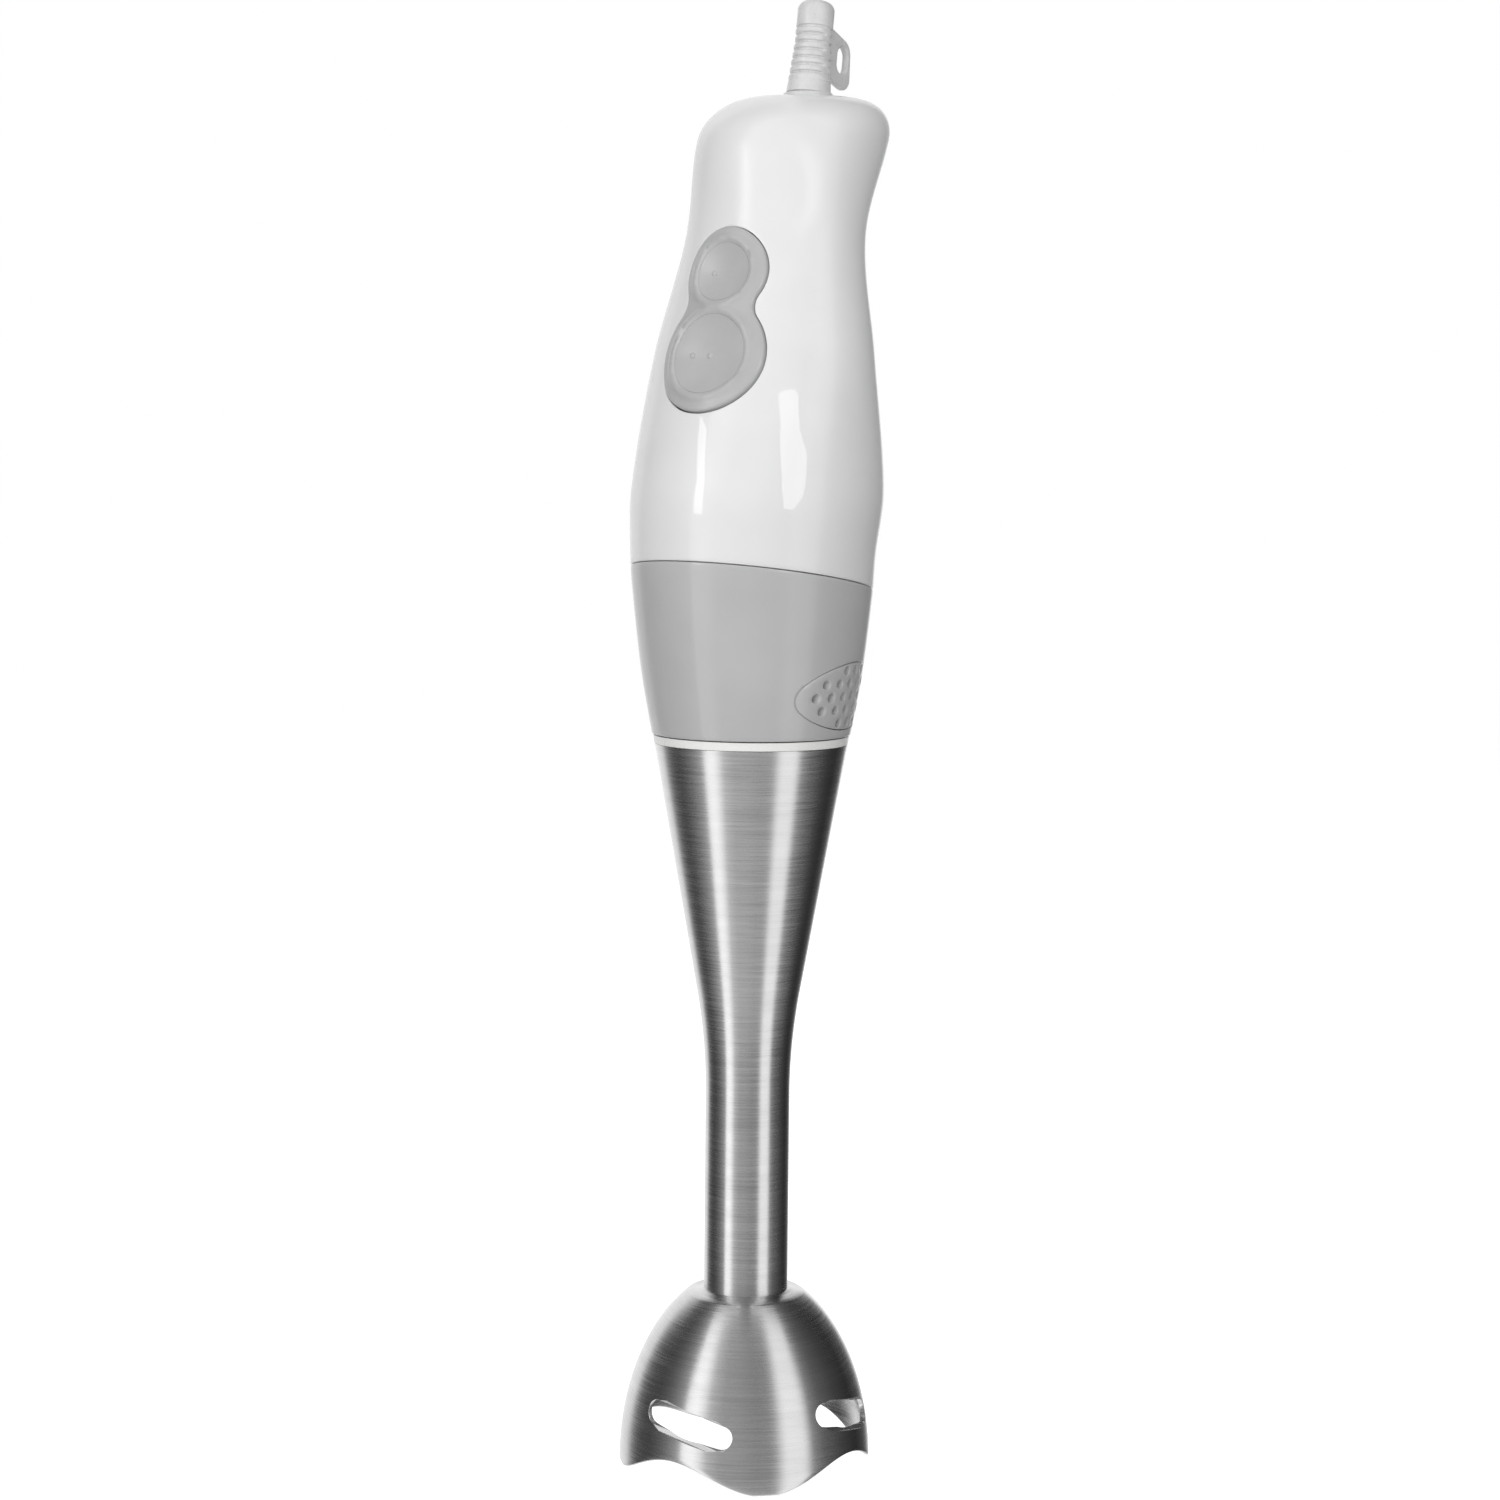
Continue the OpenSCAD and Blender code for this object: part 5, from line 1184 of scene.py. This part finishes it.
def makeWorld(look):
    world = bpy.data.worlds.new("studio")
    scene.world = world
    world.use_nodes = True
    tree = world.node_tree
    tree.nodes.clear()
    direction = addNode(tree, "ShaderNodeTexCoord").outputs["Generated"]
    turned = addNode(tree, "ShaderNodeVectorRotate", {"Angle": math.radians(90 - cameraSetup["azimuth"])},
                     {"Vector": direction}, rotation_type="Z_AXIS")
    parts = addNode(tree, "ShaderNodeSeparateXYZ", links={"Vector": turned.outputs["Vector"]})
    angle = addNode(tree, "ShaderNodeMath", links={0: parts.outputs["Y"], 1: parts.outputs["X"]},
                    operation="ARCTAN2")
    start, end, narrower = look["above"]
    spread = addNode(tree, "ShaderNodeMapRange",
                     {"From Min": math.sin(math.radians(start)), "From Max": math.sin(math.radians(end)),
                      "To Min": 1, "To Max": narrower},
                     {"Value": parts.outputs["Z"]}, interpolation_type="SMOOTHSTEP")
    spreadAngle = addNode(tree, "ShaderNodeMath", links={0: angle.outputs[0], 1: spread.outputs["Result"]},
                          operation="MULTIPLY")
    share = addNode(tree, "ShaderNodeMapRange", {"From Min": -math.pi, "From Max": math.pi},
                    {"Value": spreadAngle.outputs[0]})
    ramp = addNode(tree, "ShaderNodeValToRGB", links={"Fac": share.outputs["Result"]})
    stops = ramp.color_ramp.elements
    low, deep = (-math.sin(math.radians(degrees)) for degrees in look["below"])
    under = addNode(tree, "ShaderNodeMapRange", {"From Min": low, "From Max": deep},
                    {"Value": parts.outputs["Z"]}, interpolation_type="SMOOTHSTEP")
    peak = max(bright for _, bright in look["around"])
    for i, (degrees, bright) in enumerate(look["around"]):
        stop = stops[i] if i < 2 else stops.new(1)
        stop.position = (degrees + 180) / 360
        stop.color = [bright / peak] * 3 + [1]
    both = addNode(tree, "ShaderNodeMix", {7: [1 / peak] * 3 + [1]},
                   {0: under.outputs["Result"], 6: ramp.outputs["Color"]}, data_type="RGBA")
    light = addNode(tree, "ShaderNodeBackground", {"Strength": peak}, {"Color": both.outputs[2]})
    seen = addNode(tree, "ShaderNodeBackground", {"Color": hexColour(look["backdrop"]), "Strength": 1})
    ray = addNode(tree, "ShaderNodeLightPath").outputs["Is Camera Ray"]
    mix = addNode(tree, "ShaderNodeMixShader", links={
        0: ray, 1: light.outputs["Background"], 2: seen.outputs["Background"]})
    addNode(tree, "ShaderNodeOutputWorld", links={"Surface": mix.outputs["Shader"]})


makeWorld(studio)

lights = {
    # wide soft light that brightens the plastics and stays out of the steel
    "frontSoftbox": {"azimuth": -16, "elevation": 8, "distance": 1500, "size": (1500, 1000),
                     "power": 10.4, "glossy": False},
    # the same behind, to lift the back and the right edge
    "rearSoftbox": {"azimuth": 140, "elevation": 10, "distance": 1500, "size": (1500, 1000),
                    "power": 5.5, "glossy": False},
}
aim = Vector((0, 0, 262 * mm))


# direction out to the studio, by degrees from the camera's direction and over the horizon
def outward(azimuth, elevation):
    azimuth = math.radians(cameraSetup["azimuth"] + azimuth)
    elevation = math.radians(elevation)
    return Vector((math.sin(azimuth) * math.cos(elevation), -math.cos(azimuth) * math.cos(elevation),
                   math.sin(elevation)))


def placeLight(name, data, look):
    lamp = bpy.data.objects.new(name, data)
    out = outward(look["azimuth"], look["elevation"])
    turn = out.to_track_quat("Z", "Y").to_matrix().to_4x4()
    lamp.matrix_world = Matrix.Translation(aim + out * look["distance"] * mm) @ turn
    lamp.visible_camera = False
    lamp.visible_glossy = look["glossy"]
    scene.collection.objects.link(lamp)


for name, look in lights.items():
    data = bpy.data.lights.new(name, "AREA")
    data.shape = "RECTANGLE"
    data.size, data.size_y = (side * mm for side in look["size"])
    data.energy = look["power"]
    placeLight(name, data, look)

# two glowing cards that mirror as slanted panes in the glossy plastics and stay out of the steel;
# each side is a list of azimuths and elevations from the top down
cards = {
    "leftCard": {"left": [(-71, 30), (-59.5, 22), (-57, 4)], "right": [(-61, 30), (-51, 22), (-48, 4)],
                 "distance": 1300, "glow": 3.2},
    "rightCard": {"left": [(1, 29.5), (9, 26), (15, 21), (21, 16), (24, 8), (25, 3)],
                  "right": [(21, 25.5), (29.5, 20), (41, 14.6), (43, 11.5), (41, 6), (34, 2)],
                  "distance": 1300, "glow": 2.8},
}
glossyPieces = ("housing", "strainRelief", "collar", "leftVentGrille", "rightVentGrille",
                "buttonPad", "lowSpeedButton", "highSpeedButton")


def makeCard(name, look, seenBy):
    points = []
    for side in ("left", "right"):
        points += [aim / mm + outward(*place) * look["distance"] for place in look[side]]
    rows = len(look["left"])
    card = makePiece(name, points, [(i, i + 1, rows + i + 1, rows + i) for i in range(rows - 1)])
    # glowing sheet that lets what lies behind it through
    material, tree, _ = openMaterial("lit diffuser sheet, " + name)
    glow = addNode(tree, "ShaderNodeEmission", {"Strength": look["glow"]})
    clear = addNode(tree, "ShaderNodeBsdfTransparent")
    both = addNode(tree, "ShaderNodeAddShader", links={0: glow.outputs[0], 1: clear.outputs[0]})
    addNode(tree, "ShaderNodeOutputMaterial", links={"Surface": both.outputs[0]})
    card.data.materials.append(material)
    card.visible_camera = card.visible_diffuse = card.visible_shadow = False
    card.light_linking.receiver_collection = seenBy


plastics = bpy.data.collections.new("plastics")
for name in glossyPieces:
    plastics.objects.link(bpy.data.objects[name])
for name, look in cards.items():
    makeCard(name, look, plastics)

# a large soft light overhead evens out the floor
overhead = {"azimuth": 0, "elevation": 90, "distance": 1500, "strength": 0.35, "spread": 80, "glossy": False}
overheadData = bpy.data.lights.new("overhead", "SUN")
overheadData.energy = overhead["strength"]
overheadData.angle = math.radians(overhead["spread"])
placeLight("overhead", overheadData, overhead)

floorShape = {
    "level": -8,       # clear of the leg where it drops off its lugs
    "radius": 2600,
    "rings": [1, 0.75, 0.5, 0.3, 0.15, 0.05],  # shares of the radius
    "columns": 96,
    "fadeFrom": 250,
}


def makeFloor(shape):
    count = shape["columns"]
    rings = [circle(shape["radius"] * share, count, shape["level"]) for share in shape["rings"]]
    points = [point for ring in rings for point in ring] + [(0, 0, shape["level"])]
    faces = []
    for row in range(len(rings)):
        for i in range(count):
            low, beside = row * count + i, row * count + (i + 1) % count
            inner = (len(points) - 1,) if row == len(rings) - 1 else (beside + count, low + count)
            faces.append((low, beside) + inner)
    ground = makePiece("ground", points, faces)
    # matt painted board that fades into the backdrop
    material, tree, place = openMaterial("painted board, matt")
    grain = patches(tree, place, studio["groundGrain"])
    seen = addNode(tree, "ShaderNodeMix",
                   {6: hexColour(studio["groundPatch"]), 7: hexColour(studio["ground"])},
                   {0: grain}, data_type="RGBA")
    ray = addNode(tree, "ShaderNodeLightPath").outputs["Is Camera Ray"]
    board = addNode(tree, "ShaderNodeMix", {6: hexColour(studio["groundShade"])},
                    {0: ray, 7: seen.outputs[2]}, data_type="RGBA")
    glow = addNode(tree, "ShaderNodeMath", {1: studio["groundGlow"]}, {0: ray}, operation="MULTIPLY")
    shader = addNode(tree, "ShaderNodeBsdfPrincipled",
                     {"Roughness": 0.9, "Specular IOR Level": 0.1, "Emission Color": [1, 1, 1, 1]},
                     {"Base Color": board.outputs[2], "Emission Strength": glow.outputs[0]})
    reach = addNode(tree, "ShaderNodeVectorMath", links={0: place}, operation="LENGTH")
    fade = addNode(tree, "ShaderNodeMapRange",
                   {"From Min": shape["fadeFrom"] * mm, "From Max": shape["radius"] * 0.95 * mm},
                   {"Value": reach.outputs["Value"]}, interpolation_type="SMOOTHSTEP")
    clear = addNode(tree, "ShaderNodeBsdfTransparent")
    mix = addNode(tree, "ShaderNodeMixShader", links={
        0: fade.outputs["Result"], 1: shader.outputs["BSDF"], 2: clear.outputs["BSDF"]})
    addNode(tree, "ShaderNodeOutputMaterial", links={"Surface": mix.outputs["Shader"]})
    ground.data.materials.append(material)
    ground.visible_glossy = False


makeFloor(floorShape)
scene.view_settings.view_transform = "Standard"
print("stage and lights set")
